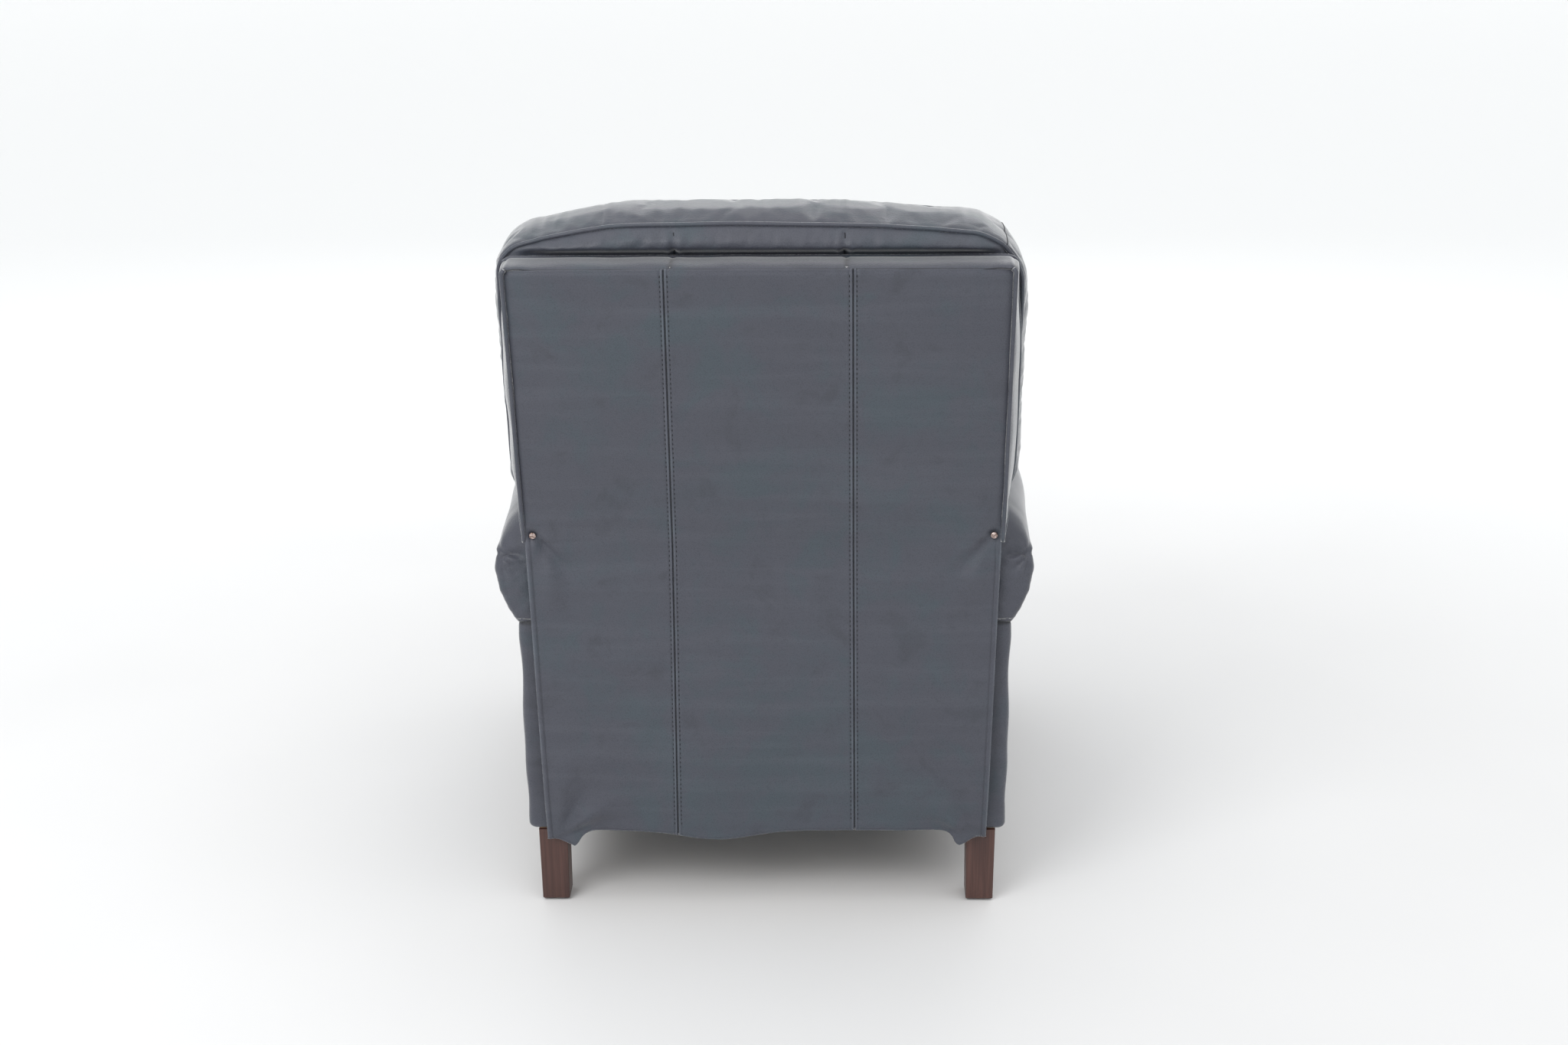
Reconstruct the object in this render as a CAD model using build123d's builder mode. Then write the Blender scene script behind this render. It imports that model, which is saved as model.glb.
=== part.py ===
from build123d import *

import math
import os

os.makedirs("parts", exist_ok=True)

# Push-back recliner armchair. The chair stands on Z = 0 and faces -Y, so the sitter's
# left is +X. The origin is under the middle of the chair, on the floor.
# Driving dimensions, in millimetres.
DEPTH = 930  # closed, from the legrest pad to the top of the leaning back
ROLL_OUT = 403  # outermost point of a rolled arm, from the middle plane
BASE_OUT = 366  # outer face of the base, below the rolled arms
ARM_IN = 260  # inner face of an arm
ARM_FOOT = 468  # underside of the arm roll
ARM_WIDEST = 558  # height where the roll is widest
ARM_TOP = 636  # crest of the roll
CREST_X = 328
ARM_SHOULDER = 577  # where the roll meets the inner face of the arm
REAR = DEPTH / 2 - 94  # rear face of arms and rear legs
FRONT = -DEPTH / 2 + 40  # front end of the arm frames
UNDERSIDE = 124  # lower edge of the upholstered base

LEG_SIZE = 44
LEG_X = 329
REAR_LEG_Y = REAR - LEG_SIZE / 2
FRONT_LEG_Y = FRONT + 2 + LEG_SIZE / 2
GLIDE_HEIGHT = 3

LEAN = math.radians(10.86)  # of the back, from the vertical
BACK_FOOT_Y = REAR + 14.4  # rear face of the back where it ends above the hanging flap
BACK_FOOT_Z = 610
BACK_HALF = 349
BACK_CREST = 1027  # height of the level top of the back
BACK_DEPTH = 66
PANEL_THICK = 8
BAND_LOW = BACK_CREST - PANEL_THICK  # underside of the top band
RAIL_DEPTH = 36  # front face of the wide timber frame, from the rear face
POST_DEPTH = 62
EARS_FOOT = 38  # along the slope; the wide part of the back starts here, above the arms

PIVOT_UP = -195  # reclining pivot, along the slope
PIVOT_IN = 49  # reclining pivot, forward of the back's rear face
POST_IN = 200
POST_OUT = 245

SEAT_RAIL_IN = 203
SEAT_RAIL_OUT = 243
SEAT_RAIL_LOW = 335
SEAT_RAIL_TOP = 370
SEAT_TOP = 500
SEAT_FRONT = -DEPTH / 2 + 12
SEAT_REAR = REAR - 103
GLIDE_TRAVEL = 80
GLIDE_SLOPE = math.radians(6)
PLATE_IN = 250  # steel side plate of the mechanism
PLATE_THICK = 4
PLATE_TOP = 372

LEGREST_FRONT = -DEPTH / 2
LEGREST_LOW = 134
LEGREST_TOP = 362
LINK_LENGTH = 150
LINK_WIDTH = 20
LINK_THICK = 4
HIP = (LEGREST_FRONT + 85, 318)  # Y and Z of the pivot between seat and lower links
LOWER_LINK_TURN = math.radians(5)  # rearward of straight down, folded
UPPER_LINK_TURN = math.radians(12)  # forward of straight up, folded

RUN = 0.06  # running clearance on a shaft
EASE = 2  # eased edge on timber

KNEE = (
    HIP[0] + LINK_LENGTH * math.sin(LOWER_LINK_TURN),
    HIP[1] - LINK_LENGTH * math.cos(LOWER_LINK_TURN),
)
ANKLE = (
    KNEE[0] - LINK_LENGTH * math.sin(UPPER_LINK_TURN),
    KNEE[1] + LINK_LENGTH * math.cos(UPPER_LINK_TURN),
)

# Local x is across the chair, local y is up the slope, and local z is forward.
BACK = Plane(
    origin=(0, BACK_FOOT_Y, BACK_FOOT_Z),
    x_dir=(1, 0, 0),
    z_dir=(0, -math.cos(LEAN), math.sin(LEAN)),
)
PIVOT_Y = BACK_FOOT_Y + PIVOT_UP * math.sin(LEAN) - PIVOT_IN * math.cos(LEAN)
PIVOT_Z = BACK_FOOT_Z + PIVOT_UP * math.cos(LEAN) + PIVOT_IN * math.sin(LEAN)


def write(piece, name):
    """Label a finished piece and write it."""
    piece.part.label = name
    export_step(piece.part, f"parts/{name}.step")


def write_pair(piece, name):
    """Write a left-hand piece and its mirror image."""
    write(piece, f"{name}_left")
    with BuildPart() as twin:
        mirror(piece.part, about=Plane.YZ)
    write(twin, f"{name}_right")


def slab(x, y, z):
    """Add a block between pairs of X, Y and Z to the part being built."""
    with Locations(((x[0] + x[1]) / 2, (y[0] + y[1]) / 2, (z[0] + z[1]) / 2)):
        Box(x[1] - x[0], y[1] - y[0], z[1] - z[0])


def back_slab(x, up, depth):
    """Add a block to the back: across, up the slope, and forward of its rear face."""
    with BuildSketch(BACK.offset(depth[0])) as outline:
        with Locations(((x[0] + x[1]) / 2, (up[0] + up[1]) / 2)):
            Rectangle(x[1] - x[0], up[1] - up[0])
    extrude(outline.sketch, amount=depth[1] - depth[0])


def cut_under_band():
    """Cut off what stands above the underside of the level top band."""
    split(bisect_by=Plane.XY.offset(BAND_LOW), keep=Keep.BOTTOM)


def cross_shaft(at, x, radius, mode=Mode.ADD):
    """Add a round bar along X, centred on the Y and Z given, between two X values."""
    with BuildSketch(Plane.YZ.offset(x[0])) as disc:
        with Locations(at):
            Circle(radius)
    extrude(disc.sketch, amount=x[1] - x[0], mode=mode)


def link_plate(first, second, x, holes):
    """Add a round-ended steel link along X between two pivots, with a hole at each."""
    middle = ((first[0] + second[0]) / 2, (first[1] + second[1]) / 2)
    turn = math.degrees(math.atan2(second[1] - first[1], second[0] - first[0]))
    with BuildSketch(Plane.YZ.offset(x)) as plate:
        with Locations(middle):
            SlotCenterToCenter(LINK_LENGTH, LINK_WIDTH, rotation=turn)
        for pivot, radius in zip((first, second), holes):
            with Locations(pivot):
                Circle(radius, mode=Mode.SUBTRACT)
    extrude(plate.sketch, amount=LINK_THICK)


def roll_curve(inner_x):
    """Add the curve of a rolled arm to an outline, from its underside over to its inner face."""
    TangentArc((ROLL_OUT, ARM_WIDEST), (BASE_OUT, ARM_FOOT), tangent=(0, -1))
    EllipticalCenterArc(
        (CREST_X, ARM_WIDEST),
        ROLL_OUT - CREST_X,
        ARM_TOP - ARM_WIDEST,
        start_angle=0,
        arc_size=90,
    )
    EllipticalCenterArc(
        (CREST_X, ARM_SHOULDER),
        CREST_X - inner_x,
        ARM_TOP - ARM_SHOULDER,
        start_angle=90,
        arc_size=90,
    )


def write_facing(rear_y, thick, name):
    """Write the pair of flat facings that close the arms at one end."""
    with BuildPart() as facing:
        with BuildSketch(Plane.XZ.offset(-rear_y)):
            with BuildLine():
                roll_curve(ARM_IN + 2)
                Polyline(
                    (BASE_OUT, ARM_FOOT),
                    (BASE_OUT, UNDERSIDE),
                    (ARM_IN + 2, UNDERSIDE),
                    (ARM_IN + 2, ARM_SHOULDER),
                )
            make_face()
        extrude(amount=thick)
        fillet(facing.edges().filter_by(Axis.Y).group_by(Axis.Z)[0].sort_by(Axis.X)[-1], 11)
    write_pair(facing, name)


# Legs, glides and their bolts.
RAIL_IN = 308
RAIL_OUT = 352
LEG_RAIL_TOP = 184
BOLT_RADIUS = 4
BOLT_LOW = 84
BOLT_TOP = 168
leg_places = {"rear_leg": REAR_LEG_Y, "front_leg": FRONT_LEG_Y}

for leg_name, leg_y in leg_places.items():
    with BuildPart() as leg:
        with BuildSketch(Plane.XY.offset(GLIDE_HEIGHT)):
            with Locations((LEG_X, leg_y)):
                Rectangle(LEG_SIZE - 2, LEG_SIZE - 2)
        with BuildSketch(Plane.XY.offset(UNDERSIDE)):
            with Locations((LEG_X, leg_y)):
                Rectangle(LEG_SIZE, LEG_SIZE)
        loft()
        fillet([edge for edge in leg.edges() if edge.length > LEG_SIZE + 1], EASE)
        chamfer(leg.edges().group_by(Axis.Z)[0], 1.5)
        with Locations((LEG_X, leg_y, UNDERSIDE)):
            Hole(BOLT_RADIUS + RUN, depth=UNDERSIDE - BOLT_LOW)
    write_pair(leg, leg_name)

leg_spots = [(side * LEG_X, leg_y) for side in (1, -1) for leg_y in leg_places.values()]

with BuildPart() as leg_glides:
    with BuildSketch():
        with Locations(*leg_spots):
            Circle(13)
    extrude(amount=GLIDE_HEIGHT)
    chamfer(leg_glides.edges().group_by(Axis.Z)[0], 0.8)
write(leg_glides, "leg_glides")

with BuildPart() as leg_bolts:
    with BuildSketch(Plane.XY.offset(BOLT_LOW)):
        with Locations(*leg_spots):
            Circle(BOLT_RADIUS)
    extrude(amount=BOLT_TOP - BOLT_LOW)
write(leg_bolts, "leg_bolts")

# Timber frame of the base.
POST_SIZE = 40
front_post = (FRONT + 4, FRONT + 4 + POST_SIZE)
rear_post = (REAR - 6 - POST_SIZE, REAR - 6)
BOARD_LOW = 560
BOARD_TOP = 576
BOARD_IN = 290
CROSS_RAIL_TOP = 190
front_cross = (HIP[0] + 29, HIP[0] + 59)
rear_cross = (rear_post[0] + 4, rear_post[1])
INNER_RAIL_LOW = 325

with BuildPart() as side_rail:
    slab((RAIL_IN, RAIL_OUT), (front_post[0], rear_post[1]), (UNDERSIDE, LEG_RAIL_TOP))
    chamfer(side_rail.edges().filter_by(Axis.Y), EASE)
    with Locations(*[(LEG_X, leg_y, UNDERSIDE) for leg_y in leg_places.values()]):
        Cylinder(
            BOLT_RADIUS + RUN,
            2 * (BOLT_TOP - UNDERSIDE),
            mode=Mode.SUBTRACT,
        )
write_pair(side_rail, "base_side_rail")

for rail_name, rail_y in {"base_front_rail": front_cross, "base_rear_rail": rear_cross}.items():
    with BuildPart() as cross_rail:
        slab((-RAIL_IN, RAIL_IN), rail_y, (UNDERSIDE, CROSS_RAIL_TOP))
        chamfer(cross_rail.edges().filter_by(Axis.X), EASE)
    write(cross_rail, rail_name)

BLOCK_LEG = 60
BLOCK_LOW = 130
BLOCK_HEIGHT = 40
with BuildPart() as corner_blocks:
    with BuildSketch(Plane.XY.offset(BLOCK_LOW)):
        for side in (1, -1):
            for corner_y, into in ((rear_cross[0], -1), (front_cross[1], 1)):
                with BuildLine():
                    Polyline(
                        (side * RAIL_IN, corner_y),
                        (side * (RAIL_IN - BLOCK_LEG), corner_y),
                        (side * RAIL_IN, corner_y + into * BLOCK_LEG),
                        close=True,
                    )
                make_face()
    extrude(amount=BLOCK_HEIGHT)
write(corner_blocks, "corner_blocks")

for post_name, post_y in {"front_arm_post": front_post, "rear_arm_post": rear_post}.items():
    with BuildPart() as arm_post:
        slab((RAIL_IN, RAIL_OUT), post_y, (LEG_RAIL_TOP, BOARD_LOW))
        chamfer(arm_post.edges().filter_by(Axis.Z), EASE)
    write_pair(arm_post, post_name)

with BuildPart() as arm_board:
    slab((BOARD_IN, RAIL_OUT), (front_post[0], rear_post[1]), (BOARD_LOW, BOARD_TOP))
    fillet(arm_board.edges().filter_by(Axis.Y).group_by(Axis.Z)[-1], 4)
write_pair(arm_board, "arm_top_board")

# Bolts that hold a mechanism plate against the arm, each with a spacing collar.
PLATE_FRONT = FRONT + 142
PLATE_REAR = REAR - 41
plate_bolts = [
    (PLATE_FRONT + 13, 348),
    (PLATE_FRONT + 193, 348),
    (PLATE_REAR - 150, 348),
    (PLATE_REAR - 12, 382),
]
PLATE_OUT = PLATE_IN + PLATE_THICK
PANEL_OUT = ARM_IN + 10
BOLT_HOLE = BOLT_RADIUS + 0.1


def plate_bolt_holes():
    """Cut the mechanism bolts' holes through the part being built."""
    for spot in plate_bolts:
        cross_shaft(spot, (PLATE_IN - 10, RAIL_IN + 10), BOLT_HOLE, mode=Mode.SUBTRACT)


with BuildPart() as inner_rail:
    slab((PANEL_OUT, RAIL_IN), (front_post[0], rear_post[1]), (INNER_RAIL_LOW, PLATE_TOP + 20))
    plate_bolt_holes()
write_pair(inner_rail, "inner_arm_rail")

# Upholstered panels of the arms.
with BuildPart() as outside_panel:
    slab((RAIL_OUT, BASE_OUT), (FRONT, REAR - 4), (UNDERSIDE, ARM_FOOT - 1))
    fillet(outside_panel.edges().filter_by(Axis.Y).group_by(Axis.Z)[0].sort_by(Axis.X)[-1], 11)
write_pair(outside_panel, "outside_arm_panel")

with BuildPart() as inside_panel:
    slab((ARM_IN, PANEL_OUT), (FRONT, REAR - 4), (300, ARM_SHOULDER - 1))
    plate_bolt_holes()
write_pair(inside_panel, "inside_arm_panel")

ROLL_WALL_IN = RAIL_OUT + 2
with BuildPart() as arm_roll:
    with BuildSketch(Plane.XZ.offset(-(REAR - 4))):
        with BuildLine():
            roll_curve(ARM_IN)
            Polyline(
                (BASE_OUT, ARM_FOOT),
                (ROLL_WALL_IN, ARM_FOOT),
                (ROLL_WALL_IN, ARM_SHOULDER),
                (ARM_IN, ARM_SHOULDER),
            )
        make_face()
    extrude(amount=REAR - 4 - FRONT)
write_pair(arm_roll, "arm_roll")

write_facing(FRONT, 12, "arm_front_facing")
write_facing(REAR, 4, "arm_rear_facing")

COVER_THICK = 1.6
with BuildPart() as dust_cover:
    slab((-330, 330), (FRONT + 68, REAR - 48), (UNDERSIDE - COVER_THICK, UNDERSIDE))
write(dust_cover, "dust_cover")

# Mechanism plates, bolted to the arms. Two sloping slots guide the seat.
guide_spots = [(PLATE_FRONT + 118, 350), (PLATE_FRONT + 403, 350)]
GUIDE_RADIUS = 5
glide_run = (-GLIDE_TRAVEL * math.cos(GLIDE_SLOPE), GLIDE_TRAVEL * math.sin(GLIDE_SLOPE))
HINGE_PIN_RADIUS = 8
UPRIGHT_TOP = 455
UPRIGHT_WIDE = 55
hinge_at = (PIVOT_Y, PIVOT_Z)

with BuildPart() as mechanism_plate:
    with BuildSketch(Plane.YZ.offset(PLATE_IN)) as plate_face:
        with BuildLine():
            Polyline(
                (PLATE_FRONT, INNER_RAIL_LOW),
                (PLATE_REAR, INNER_RAIL_LOW),
                (PLATE_REAR, UPRIGHT_TOP),
                (PLATE_REAR - UPRIGHT_WIDE, UPRIGHT_TOP),
                (PLATE_REAR - UPRIGHT_WIDE, PLATE_TOP),
                (PLATE_FRONT, PLATE_TOP),
                close=True,
            )
        make_face()
        fillet(plate_face.vertices().group_by(Axis.Y)[-1], 8)
        with Locations(hinge_at):
            Circle(HINGE_PIN_RADIUS + RUN, mode=Mode.SUBTRACT)
        for spot in guide_spots:
            with Locations((spot[0] + glide_run[0] / 2, spot[1] + glide_run[1] / 2)):
                SlotCenterToCenter(
                    GLIDE_TRAVEL,
                    2 * (GUIDE_RADIUS + 0.4),
                    rotation=-math.degrees(GLIDE_SLOPE),
                    mode=Mode.SUBTRACT,
                )
    extrude(amount=PLATE_THICK)
    plate_bolt_holes()
write_pair(mechanism_plate, "mechanism_plate")

with BuildPart() as mechanism_bolts:
    for spot in plate_bolts:
        cross_shaft(spot, (PLATE_IN - 4, PLATE_IN), 8)
        cross_shaft(spot, (PLATE_IN, 300), BOLT_RADIUS)
        cross_shaft(spot, (PLATE_OUT, ARM_IN), 9)
    mirror(about=Plane.YZ)
write(mechanism_bolts, "mechanism_bolts")

PIN_END = POST_OUT - 7
with BuildPart() as hinge_pins:
    cross_shaft(hinge_at, (PIN_END, PLATE_OUT), HINGE_PIN_RADIUS)
    cross_shaft(hinge_at, (PLATE_OUT, PLATE_OUT + 4), HINGE_PIN_RADIUS + 4)
    mirror(about=Plane.YZ)
write(hinge_pins, "hinge_pins")

# Timber frame of the back, which turns on the hinge pins.
POST_FOOT = PIVOT_UP - 20
BACK_REACH = 430  # along the slope, past the level cut
RAIL_HEIGHT = 40
TOP_RAIL_LOW = 377
with BuildPart() as back_post:
    back_slab((POST_IN, POST_OUT), (POST_FOOT, BACK_REACH), (RAIL_DEPTH, POST_DEPTH))
    cut_under_band()
    fillet(back_post.edges().filter_by(Axis.X).group_by(Axis.Z)[0], 10)
    cross_shaft(hinge_at, (PIN_END - 2, POST_OUT), HINGE_PIN_RADIUS + 1, mode=Mode.SUBTRACT)
write_pair(back_post, "back_post")

STILE_IN = 309
FRAME_OUT = BACK_HALF - 2
back_rails = {
    "back_top_rail": (TOP_RAIL_LOW, BACK_REACH),
    "back_lower_rail": (EARS_FOOT, EARS_FOOT + RAIL_HEIGHT),
}
for rail_name, rail_up in back_rails.items():
    with BuildPart() as back_rail:
        back_slab((-FRAME_OUT, FRAME_OUT), rail_up, (PANEL_THICK, RAIL_DEPTH))
        cut_under_band()
    write(back_rail, rail_name)

with BuildPart() as back_stiles:
    back_slab(
        (STILE_IN, FRAME_OUT),
        (EARS_FOOT + RAIL_HEIGHT, TOP_RAIL_LOW),
        (PANEL_THICK, RAIL_DEPTH),
    )
    mirror(about=Plane.YZ)
write(back_stiles, "back_stiles")

BRACKET_THICK = 4
with BuildPart() as back_brackets:
    with BuildSketch(Plane.YZ.offset(POST_OUT)):
        with Locations(hinge_at):
            Circle(14)
        bracket_top = BACK.offset(PIVOT_IN).from_local_coords((0, -95, 0))
        with Locations((bracket_top.Y, bracket_top.Z)):
            Rectangle(24, 20, rotation=90 - math.degrees(LEAN))
        make_hull()
        with Locations(hinge_at):
            Circle(HINGE_PIN_RADIUS + RUN, mode=Mode.SUBTRACT)
    extrude(amount=BRACKET_THICK)
    mirror(about=Plane.YZ)
write(back_brackets, "back_hinge_brackets")

WIRE = 1.8
SPRING_SWING = 22
SPRING_PITCH = 60
spring_x = (-150, -50, 50, 150)


def sinuous(plane, across, start, end):
    """Add one zigzag spring wire lying in a plane, between two values of its local y."""
    steps = 2 * int((end - start) / SPRING_PITCH)
    step = (end - start) / steps
    turns = [(across, start)]
    for number in range(steps):
        swing = SPRING_SWING if number % 2 else -SPRING_SWING
        turns.append((across + swing, start + (number + 0.5) * step))
    turns.append((across, end))
    with BuildLine(plane) as wire_line:
        FilletPolyline(*turns, radius=9)
    wire = wire_line.wires()[0]
    with BuildSketch(Plane(origin=wire @ 0, z_dir=wire % 0)) as wire_end:
        Circle(WIRE)
    sweep(wire_end.sketch, path=wire)


with BuildPart() as back_springs:
    for across in spring_x:
        sinuous(BACK.offset(RAIL_DEPTH + WIRE), across, EARS_FOOT + 15, TOP_RAIL_LOW + 25)
write(back_springs, "back_springs")

# Skins of the back: a board behind, and a boxing band over the top and down the sides.
NAIL_X = 336
NAIL_UP = 2
nail_spots = [(NAIL_X, NAIL_UP), (-NAIL_X, NAIL_UP)]
PANEL_FOOT = -5
with BuildPart() as back_panel:
    back_slab((-BACK_HALF, BACK_HALF), (PANEL_FOOT, BACK_REACH), (0, PANEL_THICK))
    cut_under_band()
    with BuildSketch(BACK):
        with Locations(*nail_spots):
            Circle(1.2)
    extrude(amount=PANEL_THICK, mode=Mode.SUBTRACT)
write(back_panel, "outside_back_panel")

with BuildPart() as top_band:
    back_slab((-BACK_HALF, BACK_HALF), (TOP_RAIL_LOW, BACK_REACH + 10), (0, BACK_DEPTH))
    split(bisect_by=Plane.XY.offset(BACK_CREST), keep=Keep.BOTTOM)
    split(bisect_by=Plane.XY.offset(BAND_LOW), keep=Keep.TOP)
    fillet(top_band.edges().filter_by(Axis.X).group_by(Axis.Z)[-1].sort_by(Axis.Y)[-1], 3)
write(top_band, "back_top_band")

BOXING_FLARE = 16
# Looks down the slope from the top band: local x is across and local y is forward.
boxing_section = Plane(
    origin=BACK.from_local_coords((0, BACK_REACH, 0)),
    x_dir=(1, 0, 0),
    z_dir=(0, -math.sin(LEAN), -math.cos(LEAN)),
)
with BuildPart() as back_boxing:
    with BuildSketch(boxing_section):
        with BuildLine():
            Polyline(
                (BACK_HALF, 0),
                (BACK_HALF + 3, 0),
                (BACK_HALF + BOXING_FLARE, BACK_DEPTH),
                (FRAME_OUT, BACK_DEPTH),
                (FRAME_OUT, PANEL_THICK),
                (BACK_HALF, PANEL_THICK),
                close=True,
            )
        make_face()
    extrude(amount=BACK_REACH - EARS_FOOT)
    cut_under_band()
    mirror(about=Plane.YZ)
write(back_boxing, "back_side_boxing")

with BuildPart() as nailheads:
    with BuildSketch(BACK):
        with Locations(*nail_spots):
            Circle(5.5)
    extrude(amount=-3.2)
    fillet(nailheads.edges().group_by(Axis.Y)[-1], 2.6)
    with BuildSketch(BACK):
        with Locations(*nail_spots):
            Circle(1.1)
    extrude(amount=PANEL_THICK)
write(nailheads, "nailheads")

# Leather flap that hangs from the foot of the outside back and hides the base.
FLAP_TOP = 603
FLAP_LOW = 112
FLAP_THICK = 3
FLAP_FRONT = REAR + 10
with BuildPart() as back_flap:
    with BuildSketch(Plane.XZ.offset(-FLAP_FRONT)):
        with BuildLine():
            Polyline(
                (-347, FLAP_TOP),
                (347, FLAP_TOP),
                (336, FLAP_LOW),
                (-336, FLAP_LOW),
                close=True,
            )
        make_face()
    extrude(amount=-FLAP_THICK)
write(back_flap, "back_flap")

# Loose back pillow: wide above the arms, narrow between them.
PILLOW_HALF = 374
PILLOW_NECK = 253
PILLOW_FOOT = -118
PILLOW_TOP = 478
PILLOW_REAR = 68
PILLOW_THICK = 155
PILLOW_CREST = 1086  # height above the floor
with BuildPart() as back_cushion:
    with BuildSketch(BACK.offset(PILLOW_REAR)) as pillow_face:
        with BuildLine():
            Polyline(
                (-PILLOW_NECK, PILLOW_FOOT),
                (PILLOW_NECK, PILLOW_FOOT),
                (PILLOW_NECK, EARS_FOOT),
                (PILLOW_HALF, EARS_FOOT),
                (PILLOW_HALF, PILLOW_TOP),
                (-PILLOW_HALF, PILLOW_TOP),
                (-PILLOW_HALF, EARS_FOOT),
                (-PILLOW_NECK, EARS_FOOT),
                close=True,
            )
        make_face()
        fillet(pillow_face.vertices().group_by(Axis.Y)[-1], 70)
        fillet(pillow_face.vertices().group_by(Axis.Y)[0], 20)
    extrude(amount=PILLOW_THICK)
    split(bisect_by=Plane.XY.offset(PILLOW_CREST), keep=Keep.BOTTOM)
    fillet(back_cushion.faces().sort_by(Axis.Y)[0].edges(), 14)
write(back_cushion, "back_cushion")

# Seat frame, which glides forward in the slots as the back reclines.
seat_y = (LEGREST_FRONT + 80, SEAT_REAR - 18)
with BuildPart() as seat_rails:
    slab((SEAT_RAIL_IN, SEAT_RAIL_OUT), seat_y, (SEAT_RAIL_LOW, SEAT_RAIL_TOP))
    chamfer(seat_rails.edges().filter_by(Axis.Y), EASE)
    mirror(about=Plane.YZ)
write(seat_rails, "seat_side_rails")

HANGER_IN = SEAT_RAIL_IN - LINK_THICK
SEAT_RAIL_WIDE = 30
cross_rails = {
    "seat_front_rail": (HANGER_IN, (seat_y[0], seat_y[0] + SEAT_RAIL_WIDE)),
    "seat_rear_rail": (SEAT_RAIL_IN, (seat_y[1] - SEAT_RAIL_WIDE, seat_y[1])),
}
for rail_name, (half, rail_y) in cross_rails.items():
    with BuildPart() as seat_cross:
        slab((-half, half), rail_y, (SEAT_RAIL_LOW, SEAT_RAIL_TOP))
        chamfer(seat_cross.edges().filter_by(Axis.X), EASE)
    write(seat_cross, rail_name)

with BuildPart() as seat_springs:
    for across in spring_x:
        sinuous(Plane.XY.offset(SEAT_RAIL_TOP + WIRE), across, seat_y[0] + 15, seat_y[1] - 15)
write(seat_springs, "seat_springs")

with BuildPart() as guide_pins:
    for spot in guide_spots:
        cross_shaft(spot, (SEAT_RAIL_OUT, PLATE_IN - 3), GUIDE_RADIUS + 4)
        cross_shaft(spot, (PLATE_IN - 3, PLATE_OUT + 1), GUIDE_RADIUS)
        cross_shaft(spot, (PLATE_OUT + 1, PLATE_OUT + 4), GUIDE_RADIUS + 3)
    mirror(about=Plane.YZ)
write(guide_pins, "seat_guide_pins")

with BuildPart() as seat_cushion:
    slab((-ARM_IN + 4, ARM_IN - 4), (SEAT_FRONT, SEAT_REAR), (SEAT_RAIL_TOP + 5, SEAT_TOP))
    fillet(seat_cushion.edges().filter_by(Axis.Z), 22)
    fillet(seat_cushion.faces().sort_by(Axis.Z)[-1].edges(), 18)
write(seat_cushion, "seat_cushion")

# Legrest linkage: hangers under the seat, folding links, a cross tube, and the board.
PIN_RADIUS = 4
TUBE_RADIUS = 8
LOWER_X = HANGER_IN - 6
UPPER_X = LOWER_X - 6
FOOT_X = UPPER_X - 6

with BuildPart() as hangers:
    with BuildSketch(Plane.YZ.offset(HANGER_IN)):
        with Locations(HIP):
            Circle(12)
        with Locations((HIP[0] + 23, SEAT_RAIL_TOP - 19)):
            Rectangle(54, 30)
        make_hull()
        with Locations(HIP):
            Circle(PIN_RADIUS + RUN, mode=Mode.SUBTRACT)
    extrude(amount=LINK_THICK)
    mirror(about=Plane.YZ)
write(hangers, "legrest_hangers")

with BuildPart() as lower_links:
    link_plate(HIP, KNEE, LOWER_X, (PIN_RADIUS, TUBE_RADIUS + RUN))
    cross_shaft(HIP, (LOWER_X, HANGER_IN + LINK_THICK + 1), PIN_RADIUS)
    cross_shaft(HIP, (SEAT_RAIL_IN + 1, SEAT_RAIL_IN + 3), PIN_RADIUS + 3)
    mirror(about=Plane.YZ)
write(lower_links, "legrest_lower_links")

with BuildPart() as cross_tube:
    cross_shaft(KNEE, (-HANGER_IN + 1, HANGER_IN - 1), TUBE_RADIUS)
    cross_shaft(KNEE, (-HANGER_IN, HANGER_IN), TUBE_RADIUS - 2, mode=Mode.SUBTRACT)
write(cross_tube, "legrest_cross_tube")

with BuildPart() as upper_links:
    link_plate(KNEE, ANKLE, UPPER_X, (TUBE_RADIUS + RUN, PIN_RADIUS + RUN))
    mirror(about=Plane.YZ)
write(upper_links, "legrest_upper_links")

BOARD_REAR = LEGREST_FRONT + 44
BOARD_FRONT = LEGREST_FRONT + 28
with BuildPart() as foot_brackets:
    with BuildSketch(Plane.YZ.offset(FOOT_X)):
        with Locations(ANKLE):
            Circle(11)
        with Locations((BOARD_REAR + 1.5, ANKLE[1] - 10)):
            Rectangle(3, 80)
        make_hull()
    extrude(amount=LINK_THICK)
    slab(
        (FOOT_X - 16, FOOT_X + LINK_THICK),
        (BOARD_REAR, BOARD_REAR + 3),
        (ANKLE[1] - 60, ANKLE[1] + 36),
    )
    cross_shaft(ANKLE, (FOOT_X + LINK_THICK, LOWER_X - 1), PIN_RADIUS)
    cross_shaft(ANKLE, (LOWER_X - 1.6, LOWER_X - 0.4), PIN_RADIUS + 2)
    mirror(about=Plane.YZ)
write(foot_brackets, "legrest_brackets")

with BuildPart() as legrest_board:
    slab((-252, 252), (BOARD_FRONT, BOARD_REAR), (LEGREST_LOW + 2, LEGREST_TOP - 2))
    chamfer(legrest_board.edges().filter_by(Axis.X), EASE)
write(legrest_board, "legrest_board")

with BuildPart() as legrest_pad:
    slab((-254, 254), (LEGREST_FRONT, BOARD_FRONT), (LEGREST_LOW, LEGREST_TOP))
    fillet(legrest_pad.faces().sort_by(Axis.Y)[0].edges(), 12)
write(legrest_pad, "legrest_pad")
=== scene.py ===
import math

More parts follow.
